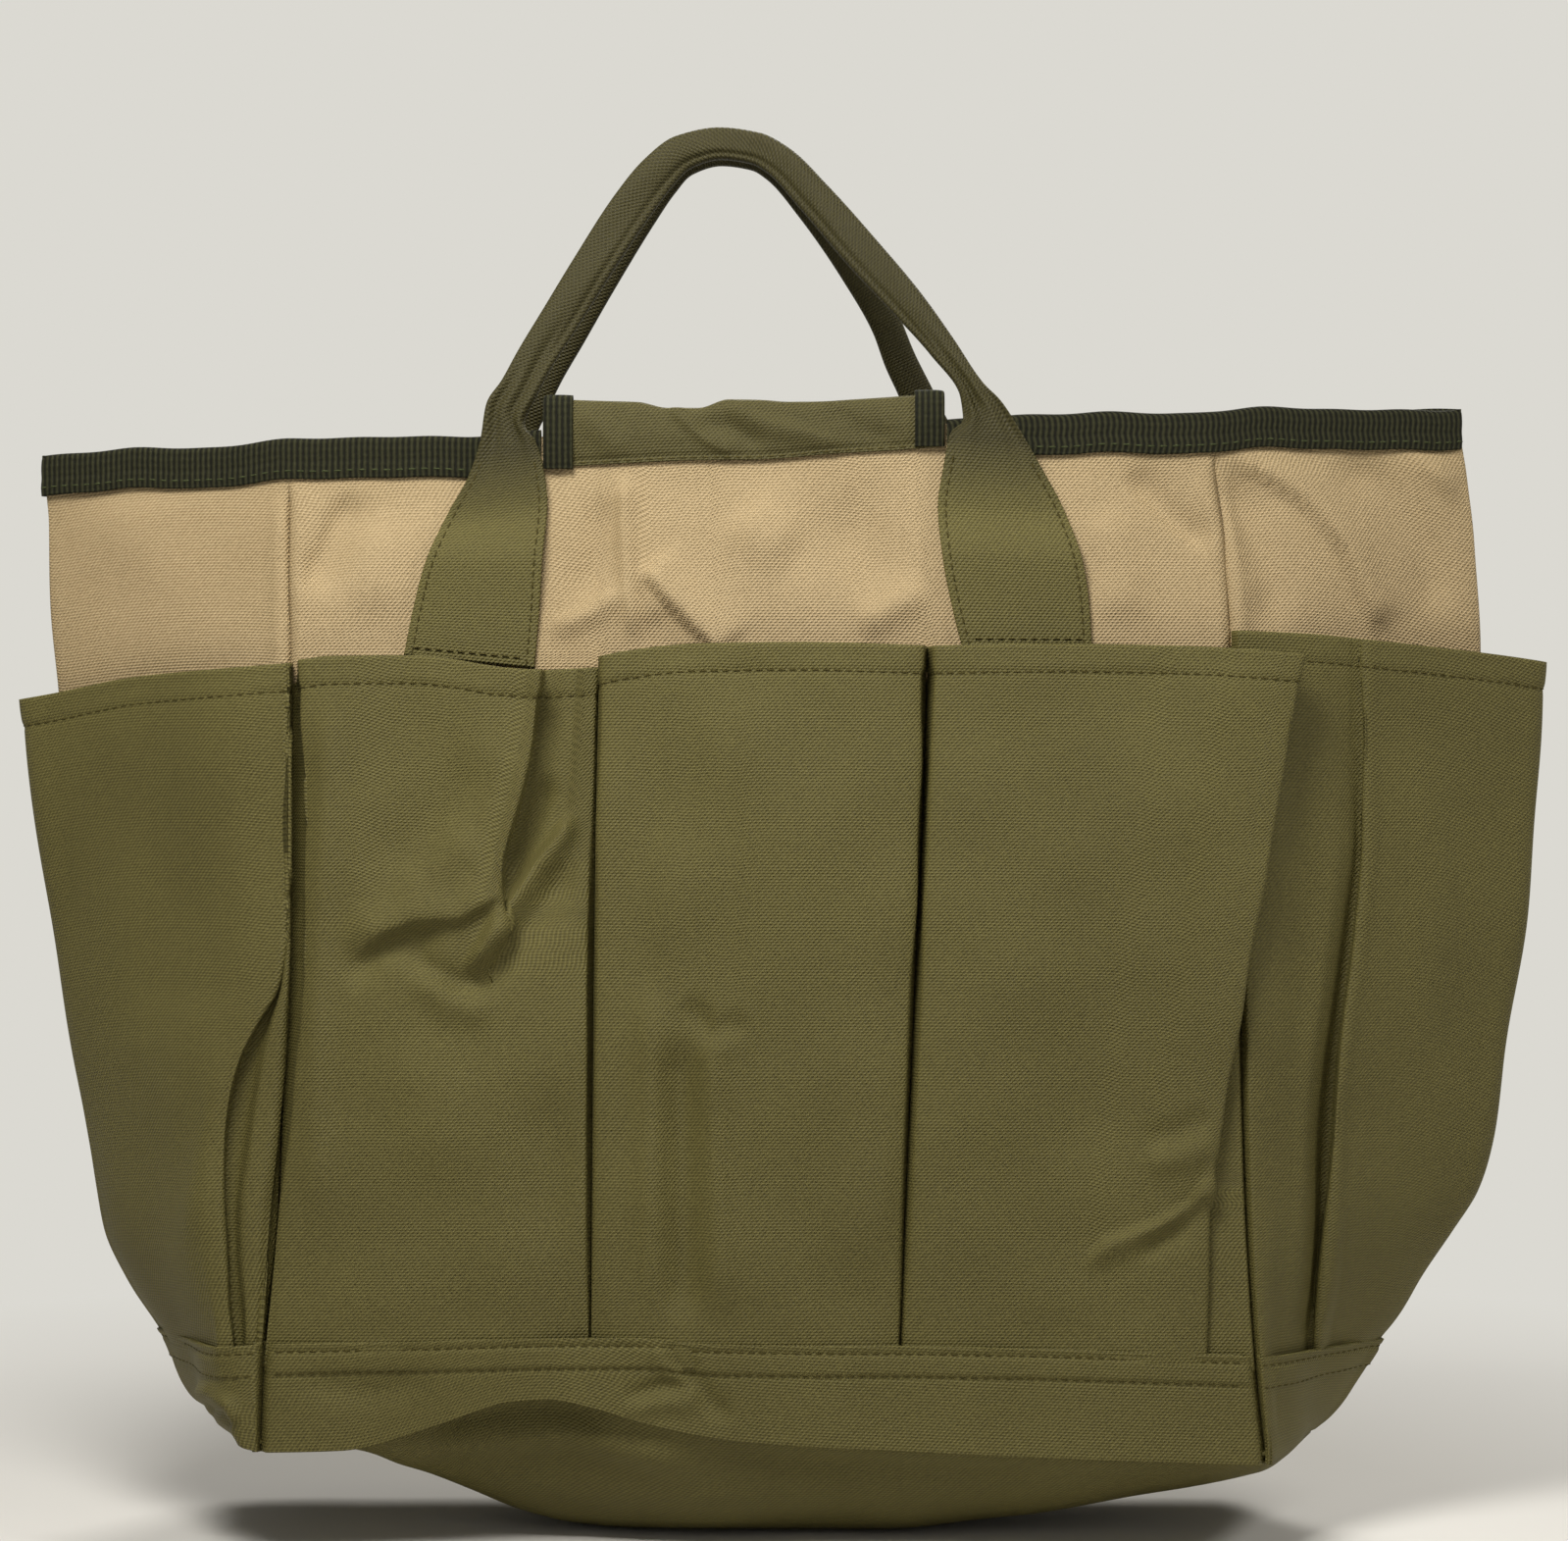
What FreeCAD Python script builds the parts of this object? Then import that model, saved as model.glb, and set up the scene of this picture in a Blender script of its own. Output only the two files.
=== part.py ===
import FreeCAD, Part
import Sketcher
import math
import os

# Garden tool bag, hanging nearly flat from its two handles. Millimetres.
# The front looks along -Y, +X is to the right of someone facing it, and +Z is up.
# The origin is on the ground, below the middle of the bag.

# Each size that can be set by itself: its name, its value and what it is.
SIZES = [
    ("wall", 1.0, "thickness of a tan cloth panel"),
    ("band_wall", 1.8, "thickness of the lower band"),
    ("base_wall", 1.6, "thickness of the base cloth with its hem"),
    ("pocket_wall", 1.0, "thickness of pocket cloth"),
    ("tape_wall", 1.2, "thickness of the webbing tape"),
    ("tab_wall", 2.4, "thickness of a flat handle tab"),
    ("flap_wall", 1.2, "thickness of the flap's cloth"),
    ("moving_gap", 0.4, "room between a moving piece and a fixed one"),
    ("seam_gap", 1.6, "room between two neighbouring pockets"),
    ("sewing_gap", 0.03, "room between a twisted panel and the cloth sewn on it"),
    # Heights of the outline's levels
    ("hem_height", 28.0, "lower edge of the bands"),
    ("band_height", 59.0, "upper edge of the bands, where the pockets start"),
    ("bend_height", 98.6, "level where the gussets start to draw in"),
    ("pocket_height", 257.0, "mouths of the pockets"),
    ("rim_height", 321.4, "rim, at the middle of the bag"),
    ("rim_tilt", 1.9, "slope of the rim in degrees, up to the right"),
    ("tape_height", 10.5, "height of the tape that binds the rim"),
    # Front corners, outward folds of the gussets and half depth at each level
    ("hem_corner_left", 148.6, "left corner"),
    ("hem_corner_right", 137.0, "right corner"),
    ("hem_fold_left", 170.0, "fold of the left gusset"),
    ("hem_fold_right", 160.0, "fold of the right gusset"),
    ("hem_depth", 48.0, "half depth"),
    ("band_corner_left", 147.5, "left corner"),
    ("band_corner_right", 134.0, "right corner"),
    ("band_fold_left", 183.0, "fold of the left gusset"),
    ("band_fold_right", 177.0, "fold of the right gusset"),
    ("band_depth", 47.0, "half depth"),
    ("bend_corner_left", 144.0, "left corner"),
    ("bend_corner_right", 132.0, "right corner"),
    ("bend_fold_left", 199.5, "fold of the left gusset"),
    ("bend_fold_right", 203.0, "fold of the right gusset"),
    ("bend_depth", 44.0, "half depth"),
    ("pocket_corner_left", 141.3, "left corner"),
    ("pocket_corner_right", 128.8, "right corner"),
    ("pocket_fold_left", 215.8, "fold of the left gusset"),
    ("pocket_fold_right", 208.0, "fold of the right gusset"),
    ("pocket_depth", 31.0, "half depth"),
    ("rim_corner_left", 143.5, "left corner"),
    ("rim_corner_right", 125.4, "right corner"),
    ("rim_fold_left", 219.0, "fold of the left gusset"),
    ("rim_fold_right", 201.0, "fold of the right gusset"),
    ("rim_depth", 24.0, "half depth"),
    # The lowest part of the sagging base
    ("foot_corner_left", 60.0, "left end of the flat strip"),
    ("foot_corner_right", 42.0, "right end of the flat strip"),
    ("foot_fold_left", 74.0, "left tip of the flat strip"),
    ("foot_fold_right", 58.0, "right tip of the flat strip"),
    ("foot_depth", 33.0, "half depth of the flat strip"),
    # Room inside the pockets, in front of the panel, at three levels
    ("band_room", 0.4, "at the band, where the pocket is sewn down"),
    ("bend_room", 3.4, "at the bend"),
    ("pocket_room", 12.0, "at the mouth"),
    ("band_reach", 0.8, "room at the gusset's fold, at the band"),
    ("bend_reach", 3.5, "room at the gusset's fold, at the bend"),
    ("pocket_reach_left", 9.2, "room at the left gusset's fold, at the mouth"),
    ("pocket_reach_right", 17.0, "room at the right gusset's fold, at the mouth"),
    # Seams between the three pockets of a side, and how far their front faces lean in
    ("seam_left", 54.2, "left seam, to the left of the middle"),
    ("seam_right", 38.0, "right seam, to the right of the middle"),
    ("side_pocket_slope", 14.0, "how far the left pocket's free side slopes in at the mouth"),
    ("overhang", 17.0, "how far the right pocket's mouth hangs over the corner"),
    # Handle tabs: edges at the pocket mouths and at the rim
    ("tab_outer_left", 108.3, "left tab, outer edge at the pocket mouth"),
    ("tab_inner_left", 71.6, "left tab, inner edge at the pocket mouth"),
    ("tab_rim_outer_left", 91.0, "left tab, outer edge at the rim"),
    ("tab_rim_inner_left", 70.4, "left tab, inner edge at the rim"),
    ("tab_inner_right", 52.5, "right front tab, inner edge at the pocket mouth"),
    ("tab_outer_right", 88.0, "right front tab, outer edge at the pocket mouth"),
    ("tab_rim_inner_right", 48.0, "right front tab, inner edge at the rim"),
    ("tab_rim_outer_right", 69.5, "right front tab, outer edge at the rim"),
    ("back_tab_shift", 12.5, "how far the right back tab stands nearer the middle"),
    # Handle loops
    ("crown_place", 14.0, "crown of the handles, to the left of the middle"),
    ("crown_rise", 84.6, "crown of the handles above the rim"),
    ("crown_depth", 5.5, "crown of each handle, away from the middle plane"),
    ("strap_width", 14.0, "width of the folded strap"),
    ("strap_thickness", 6.0, "thickness of the folded strap"),
    ("root_rise", 0.6, "top of the tabs above the rim"),
    # Closing flap
    ("flap_left", 69.5, "left edge of the flap"),
    ("flap_right", 46.8, "right edge of the flap"),
    ("flap_drop", 8.0, "how far the flap is sewn down below the rim"),
    ("flap_rise", 10.5, "fold of the flap above the rim"),
    ("flap_tape_width", 8.4, "visible width of the flap's side bindings"),
    ("tongue_length", 40.0, "length of the tongue beyond the fold"),
    ("tongue_trim", 1.0, "how much narrower the tongue is at each side"),
    ("strip_width", 60.0, "length of the hook and loop strips along the flap"),
    ("strip_height", 16.0, "height of the hook and loop strips"),
    ("strip_wall", 1.0, "thickness of the hook and loop strips"),
]

# Shape of a handle's legs, as shares of the way from the root to the crown: across, up.
LEFT_LEG = [(0.03, 0.139), (0.163, 0.358), (0.31, 0.577), (0.535, 0.8), (0.718, 0.95), (0.865, 0.992)]
FRONT_RIGHT_LEG = [(0.012, 0.12), (0.055, 0.19), (0.15, 0.3), (0.339, 0.46), (0.468, 0.63),
                   (0.623, 0.8), (0.772, 0.915), (0.89, 0.98)]
BACK_RIGHT_LEG = [(0.06, 0.12), (0.19, 0.253), (0.285, 0.4), (0.42, 0.61), (0.6, 0.8), (0.8, 0.945)]

os.makedirs("parts", exist_ok=True)
doc = FreeCAD.newDocument("GardenToolBag")
sheet = doc.addObject("Spreadsheet::Sheet", "Sizes")
for row, (alias, value, note) in enumerate(SIZES, start=1):
    sheet.set("A" + str(row), note)
    sheet.set("B" + str(row), str(value))
    sheet.setAlias("B" + str(row), alias)
doc.recompute()

FRONT = "-"
BACK = "+"
LEFT = "-"
RIGHT = "+"
LEVELS_OF_WALL = ["hem", "band", "bend", "pocket", "tape", "rim"]


def size(alias):
    return "Sizes." + alias


def side_word(side):
    return "left" if side == LEFT else "right"


def outline_of(level):
    """The tape's edge and its cap share the rim's outline."""
    return "rim" if level in ("tape", "cap") else level


def corner(level, side, face, inset="0"):
    """Corner of the outline at a level, moved inwards by inset with a true mitre."""
    name = outline_of(level)
    across = size(name + "_corner_" + side_word(side))
    fold = size(name + "_fold_" + side_word(side))
    depth = size(name + "_depth")
    reach = "(" + fold + " - " + across + ")"
    mitre = "(hypot(" + reach + "; " + depth + ") - " + reach + ") / " + depth
    x = side + "1 * (" + across + " - (" + inset + ") * " + mitre + ")"
    y = face + "1 * (" + depth + " - (" + inset + "))"
    return (x, y)


def fold_point(level, side, inset="0"):
    """Fold of a gusset at a level, moved inwards by inset."""
    name = outline_of(level)
    across = size(name + "_corner_" + side_word(side))
    fold = size(name + "_fold_" + side_word(side))
    depth = size(name + "_depth")
    slant = "hypot(" + fold + " - " + across + "; " + depth + ") / " + depth
    return (side + "1 * (" + fold + " - (" + inset + ") * " + slant + ")", "0")


def height_of(level):
    heights = {
        "ground": "0",
        "floor": size("base_wall"),
        "tape": size("rim_height") + " - " + size("tape_height"),
        "rim": size("rim_height"),
        "cap": size("rim_height") + " + " + size("tape_wall"),
    }
    return heights.get(level, size(level + "_height"))


def new_body(name):
    body = doc.addObject("PartDesign::Body", name)
    body.Label = name
    return body


def origin_plane(body, role):
    for feature in body.Origin.OriginFeatures:
        if feature.Role == role:
            return feature
    raise RuntimeError("no plane " + role)


def outline_sketch(body, name, points):
    """Closed outline in the body's level plane, each corner bound to the sheet."""
    sketch = body.newObject("Sketcher::SketchObject", name)
    sketch.AttachmentSupport = [(origin_plane(body, "XY_Plane"), "")]
    sketch.MapMode = "FlatFace"
    count = len(points)
    spread = 100.0
    start = []
    for index in range(count):
        turn = 2.0 * math.pi * index / count
        start.append(FreeCAD.Vector(spread * math.cos(turn), spread * math.sin(turn), 0))
    for index in range(count):
        sketch.addGeometry(Part.LineSegment(start[index], start[(index + 1) % count]), False)
    for index in range(count):
        sketch.addConstraint(Sketcher.Constraint("Coincident", index, 2, (index + 1) % count, 1))
    for index, (x, y) in enumerate(points):
        rule = sketch.addConstraint(Sketcher.Constraint("DistanceX", -1, 1, index, 1, start[index].x))
        sketch.setExpression("Constraints[" + str(rule) + "]", x)
        rule = sketch.addConstraint(Sketcher.Constraint("DistanceY", -1, 1, index, 1, start[index].y))
        sketch.setExpression("Constraints[" + str(rule) + "]", y)
    return sketch


def place_sketch(sketch, height, turn, across="0", depth="0"):
    """Height and place of a sketch, turned about the Y axis by an angle in degrees."""
    sketch.AttachmentOffset = FreeCAD.Placement(
        FreeCAD.Vector(0, 0, 0), FreeCAD.Rotation(FreeCAD.Vector(0, 1, 0), 5))
    sketch.setExpression(".AttachmentOffset.Base.x", across)
    sketch.setExpression(".AttachmentOffset.Base.y", depth)
    sketch.setExpression(".AttachmentOffset.Base.z", height)
    sketch.setExpression(".AttachmentOffset.Rotation.Angle", turn)


def level_sketch(body, name, level, points, lift="0"):
    """Outline at one of the bag's levels; those at the rim lie on its slope."""
    sketch = outline_sketch(body, name, points)
    turn = "-1 * " + size("rim_tilt") if outline_of(level) == "rim" else "0"
    place_sketch(sketch, height_of(level) + " + (" + lift + ")", turn)
    return sketch


def loft(body, sketches, name, kind="AdditiveLoft"):
    feature = body.newObject("PartDesign::" + kind, name)
    feature.Profile = sketches[0]
    feature.Sections = [(sketch, [""]) for sketch in sketches[1:]]
    feature.Ruled = True
    body.Tip = feature
    return feature


def wall_body(name, levels, points_at):
    """Body lofted through the outlines that points_at gives for each level."""
    body = new_body(name)
    sketches = [level_sketch(body, name + "_" + level, level, points_at(level)) for level in levels]
    loft(body, sketches, name + "_cloth")
    return body


# Tan panels and gussets

def panel_points(level, face, outer, inner):
    return [
        corner(level, LEFT, face, outer),
        corner(level, RIGHT, face, outer),
        corner(level, RIGHT, face, inner),
        corner(level, LEFT, face, inner),
    ]


def gusset_points(level, side, outer, inner):
    return [
        corner(level, side, FRONT, outer),
        fold_point(level, side, outer),
        corner(level, side, BACK, outer),
        corner(level, side, BACK, inner),
        fold_point(level, side, inner),
        corner(level, side, FRONT, inner),
    ]


def make_panels():
    for face, word in ((FRONT, "front"), (BACK, "back")):
        wall_body(word + "_panel", LEVELS_OF_WALL,
                  lambda level: panel_points(level, face, "0", size("wall")))
    for side in (LEFT, RIGHT):
        wall_body(side_word(side) + "_gusset", LEVELS_OF_WALL,
                  lambda level: gusset_points(level, side, "0", size("wall")))


# Lower bands, sewn over the lower edges of the panels

def make_bands():
    outer = "-1 * " + size("band_wall")
    for face, word in ((FRONT, "front"), (BACK, "back")):
        wall_body(word + "_lower_band", ["hem", "band"],
                  lambda level: panel_points(level, face, outer, "0"))
    for side in (LEFT, RIGHT):
        wall_body(side_word(side) + "_lower_band", ["hem", "band"],
                  lambda level: gusset_points(level, side, outer, "0"))


# Base: a shallow bowl between the lower edges of the bands and the ground

def ring_points(level, inset):
    return [
        corner(level, LEFT, FRONT, inset),
        corner(level, RIGHT, FRONT, inset),
        fold_point(level, RIGHT, inset),
        corner(level, RIGHT, BACK, inset),
        corner(level, LEFT, BACK, inset),
        fold_point(level, LEFT, inset),
    ]


def make_base():
    name = "base_panel"
    body = new_body(name)
    top = level_sketch(body, "base_top", "hem", ring_points("hem", "-1 * " + size("band_wall")))
    ground = outline_sketch(body, "base_ground", ring_points("foot", "0"))
    place_sketch(ground, height_of("ground"), "0")
    loft(body, [top, ground], "base_bowl")
    inner_top = level_sketch(body, "base_inner_top", "hem", ring_points("hem", size("wall")))
    inner_floor = outline_sketch(body, "base_floor", ring_points("foot", size("base_wall")))
    place_sketch(inner_floor, height_of("floor"), "0")
    loft(body, [inner_top, inner_floor], "base_hollow", "SubtractiveLoft")


# Pockets of the front and back: channels that stand open at the top

POCKET_LEVELS = ["band", "bend", "pocket"]


def pocket_points(level, face, start, end, lean_start, lean_end):
    """Channel from start to end along X, with its front corners moved by the two leans."""
    depth = size(level + "_depth")
    room = size(level + "_room")
    skin = size("pocket_wall")
    share = room + " / " + size("pocket_room")
    outer = face + "1 * (" + depth + " + " + room + " + " + skin + ")"
    inner = face + "1 * (" + depth + " + " + room + ")"
    back = face + "1 * " + depth
    front_start = start + " + (" + lean_start + ") * " + share
    front_end = end + " + (" + lean_end + ") * " + share
    return [
        (start, back),
        (front_start, outer),
        (front_end, outer),
        (end, back),
        (end + " - 1.5 * " + skin, back),
        (front_end + " - 1.5 * " + skin, inner),
        (front_start + " + 1.5 * " + skin, inner),
        (start + " + 1.5 * " + skin, back),
    ]


def make_side_pockets():
    half_gap = size("seam_gap") + " / 2"
    for face, word in ((FRONT, "front"), (BACK, "back")):
        def left_points(level):
            start = "-1 * " + size(level + "_corner_left") + " + " + half_gap
            end = "-1 * " + size("seam_left") + " - " + half_gap
            return pocket_points(level, face, start, end, "0", "-1 * " + size("side_pocket_slope"))

        def centre_points(level):
            start = "-1 * " + size("seam_left") + " + " + half_gap
            end = size("seam_right") + " - " + half_gap
            return pocket_points(level, face, start, end, "0", "0")

        def right_points(level):
            start = size("seam_right") + " + " + half_gap
            end = size(level + "_corner_right") + " - " + half_gap
            return pocket_points(level, face, start, end, "0", size("overhang"))

        wall_body(word + "_pocket_left", POCKET_LEVELS, left_points)
        wall_body(word + "_pocket_centre", POCKET_LEVELS, centre_points)
        wall_body(word + "_pocket_right", POCKET_LEVELS, right_points)


# Gusset pockets: slack bands around the outward folds

def gusset_pocket_points(level, side):
    across = size(level + "_corner_" + side_word(side))
    fold = size(level + "_fold_" + side_word(side))
    depth = size(level + "_depth")
    skin = size("pocket_wall")
    room = "0.7 * " + size(level + "_room")
    reach = size(level + "_reach" + ("_" + side_word(side) if level == "pocket" else ""))
    width = "(" + fold + " - " + across + ")"
    length = "hypot(" + width + "; " + depth + ")"

    def along(distance, stand, face):
        """Point on a gusset's half, a distance from its corner and standing off its face."""
        x = (side + "1 * (" + across + " + (" + distance + ") * " + width + " / " + length
             + " + (" + stand + ") * " + depth + " / " + length + ")")
        y = (face + "1 * (" + depth + " - (" + distance + ") * " + depth + " / " + length
             + " + (" + stand + ") * " + width + " / " + length + ")")
        return (x, y)

    rise = "0.28 * " + length
    foot = "2.5 * " + skin
    tip_outer = (side + "1 * (" + fold + " + " + reach + " + 1.3 * " + skin + ")", "0")
    tip_inner = (side + "1 * (" + fold + " + " + reach + ")", "0")
    edge = "0.4 * " + skin
    sewn = size("sewing_gap")
    return [
        along(edge, sewn, FRONT),
        along(rise, room + " + " + skin, FRONT),
        tip_outer,
        along(rise, room + " + " + skin, BACK),
        along(edge, sewn, BACK),
        along(edge + " + " + foot, sewn, BACK),
        along(rise, room, BACK),
        tip_inner,
        along(rise, room, FRONT),
        along(edge + " + " + foot, sewn, FRONT),
    ]


def make_gusset_pockets():
    for side in (LEFT, RIGHT):
        wall_body(side_word(side) + "_pocket", POCKET_LEVELS,
                  lambda level: gusset_pocket_points(level, side))


# Tape folded over the rim: a strip around the wall, with the wall's own place cut out

def rim_place(edge, face, inset):
    """Point of the rim at a place along X, moved inwards by inset."""
    return (edge, face + "1 * (" + size("rim_depth") + " - (" + inset + "))")


def side_tape(side, outer, inner):
    """Run of tape from the front tab, around the gusset, to the back tab."""
    front_stop = tab_edges(side, FRONT, "rim")[0]
    back_stop = tab_edges(side, BACK, "rim")[0]
    return [
        rim_place(front_stop, FRONT, outer),
        corner("rim", side, FRONT, outer),
        fold_point("rim", side, outer),
        corner("rim", side, BACK, outer),
        rim_place(back_stop, BACK, outer),
        rim_place(back_stop, BACK, inner),
        corner("rim", side, BACK, inner),
        fold_point("rim", side, inner),
        corner("rim", side, FRONT, inner),
        rim_place(front_stop, FRONT, inner),
    ]


def back_tape(outer, inner):
    """Run of tape between the two back tabs."""
    left_stop = tab_edges(LEFT, BACK, "rim")[1]
    right_stop = tab_edges(RIGHT, BACK, "rim")[1]
    return [
        rim_place(left_stop, BACK, outer),
        rim_place(right_stop, BACK, outer),
        rim_place(right_stop, BACK, inner),
        rim_place(left_stop, BACK, inner),
    ]


def tape_body(name, strip_points):
    """strip_points gives the strip between two insets from the wall's outer face."""
    body = new_body(name)
    outside = strip_points("-1 * " + size("tape_wall"), size("wall") + " + " + size("tape_wall"))
    within = strip_points("0", size("wall"))
    low = level_sketch(body, name + "_low", "tape", outside)
    high = level_sketch(body, name + "_high", "cap", outside)
    loft(body, [low, high], name + "_fold")
    low_cut = level_sketch(body, name + "_low_cut", "tape", within)
    high_cut = level_sketch(body, name + "_high_cut", "rim", within)
    loft(body, [low_cut, high_cut], name + "_slot", "SubtractiveLoft")


def make_rim_tapes():
    for side in (LEFT, RIGHT):
        tape_body(side_word(side) + "_rim_binding",
                  lambda outer, inner: side_tape(side, outer, inner))
    tape_body("back_rim_binding", back_tape)


# Flat tabs of the handles, from the pocket mouths to just above the rim

def tab_edges(side, face, level):
    """Outer and inner edge of a tab at a level, as signed places along X."""
    word = side_word(side)
    at_rim = outline_of(level) == "rim"
    outer = size(("tab_rim_outer_" if at_rim else "tab_outer_") + word)
    inner = size(("tab_rim_inner_" if at_rim else "tab_inner_") + word)
    shift = size("back_tab_shift") if side == RIGHT and face == BACK else "0"
    return (side + "1 * (" + outer + " - " + shift + ")", side + "1 * (" + inner + " - " + shift + ")")


def tab_points(level, side, face):
    outer_edge, inner_edge = tab_edges(side, face, level)
    depth = size(outline_of(level) + "_depth")
    near = face + "1 * (" + depth + " + " + size("sewing_gap") + ")"
    far = face + "1 * (" + depth + " + " + size("sewing_gap") + " + " + size("tab_wall") + ")"
    return [(outer_edge, far), (inner_edge, far), (inner_edge, near), (outer_edge, near)]


def make_tabs():
    for face, word in ((FRONT, "front"), (BACK, "back")):
        for side in (LEFT, RIGHT):
            name = word + "_handle_" + side_word(side) + "_tab"
            body = new_body(name)
            low = level_sketch(body, name + "_low", "pocket", tab_points("pocket", side, face))
            middle = level_sketch(body, name + "_middle", "tape", tab_points("tape", side, face))
            high = level_sketch(body, name + "_high", "rim", tab_points("rim", side, face),
                                size("root_rise"))
            loft(body, [low, middle, high], name + "_cloth")


# Handle loops: a strap folded to a thick cord between its two roots

def strap_section(width, thickness, bevel):
    half = "(" + width + ") / 2"
    deep = "(" + thickness + ") / 2"
    return [
        ("-1 * " + half, "0"),
        ("-1 * " + half + " + " + bevel, "-1 * " + deep),
        (half + " - " + bevel, "-1 * " + deep),
        (half, "0"),
        (half + " - " + bevel, deep),
        ("-1 * " + half + " + " + bevel, deep),
    ]


def make_handle(face, word, right_leg):
    """Sections along the strap; each is turned to face along the line between its neighbours."""
    name = word + "_handle_loop"
    body = new_body(name)
    root_depth = "(" + size("rim_depth") + " + " + size("tab_wall") + " / 2)"
    crown_x = "(-1 * " + size("crown_place") + ")"
    crown_z = "(" + size("rim_height") + " + " + size("crown_rise") + ")"
    lift = "(" + size("root_rise") + " + 2 * " + size("moving_gap") + ")"

    def root(side):
        outer, inner = tab_edges(side, face, "rim")
        x = "(" + outer + " + " + inner + ") / 2"
        z = size("rim_height") + " + " + lift + " + (" + x + ") * tan(" + size("rim_tilt") + ")"
        return ("(" + x + ")", "(" + z + ")")

    def leg(side, shares):
        x, z = root(side)
        places = [(x, z, "0")]
        for across, up in shares:
            places.append((
                "(" + x + " + " + str(across) + " * (" + crown_x + " - " + x + "))",
                "(" + z + " + " + str(up) + " * (" + crown_z + " - " + z + "))",
                str(up),
            ))
        return places

    path = leg(LEFT, LEFT_LEG) + [(crown_x, crown_z, "1")] + leg(RIGHT, right_leg)[::-1]
    root_width = size("tab_rim_outer_left") + " - " + size("tab_rim_inner_left")
    sketches = []
    for index, (x, z, up) in enumerate(path):
        last = len(path) - 1
        depth = face + "1 * (" + root_depth + " + " + up + " * (" + size("crown_depth") + " - " + root_depth + "))"
        if index in (0, last):
            points = strap_section(root_width, size("tab_wall"), "0.3 * " + size("tab_wall"))
            turn = "-1 * " + size("rim_tilt") if index == 0 else "180 - " + size("rim_tilt")
        else:
            points = strap_section(size("strap_width"), size("strap_thickness"), "0.3 * " + size("strap_thickness"))
            before = path[index - 1]
            after = path[index + 1]
            turn = "atan2(" + after[0] + " - " + before[0] + "; " + after[1] + " - " + before[1] + ")"
        sketch = outline_sketch(body, name + "_" + str(index), points)
        place_sketch(sketch, z, turn, x, depth)
        sketches.append(sketch)
    loft(body, sketches, name + "_strap")


# Closing flap: the root is fixed, the tongue turns about the fold above it

def strip_between(start, end, near, far):
    return [(start, near), (end, near), (end, far), (start, far)]


def rim_block(name, start, end, near, far, low, high):
    """Block on the slope of the rim, between two heights measured from the rim."""
    body = new_body(name)
    sketches = []
    for word, lift in (("low", low), ("high", high)):
        sketches.append(level_sketch(body, name + "_" + word, "rim", strip_between(start, end, near, far), lift))
    loft(body, sketches, name + "_cloth")
    return body


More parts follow.
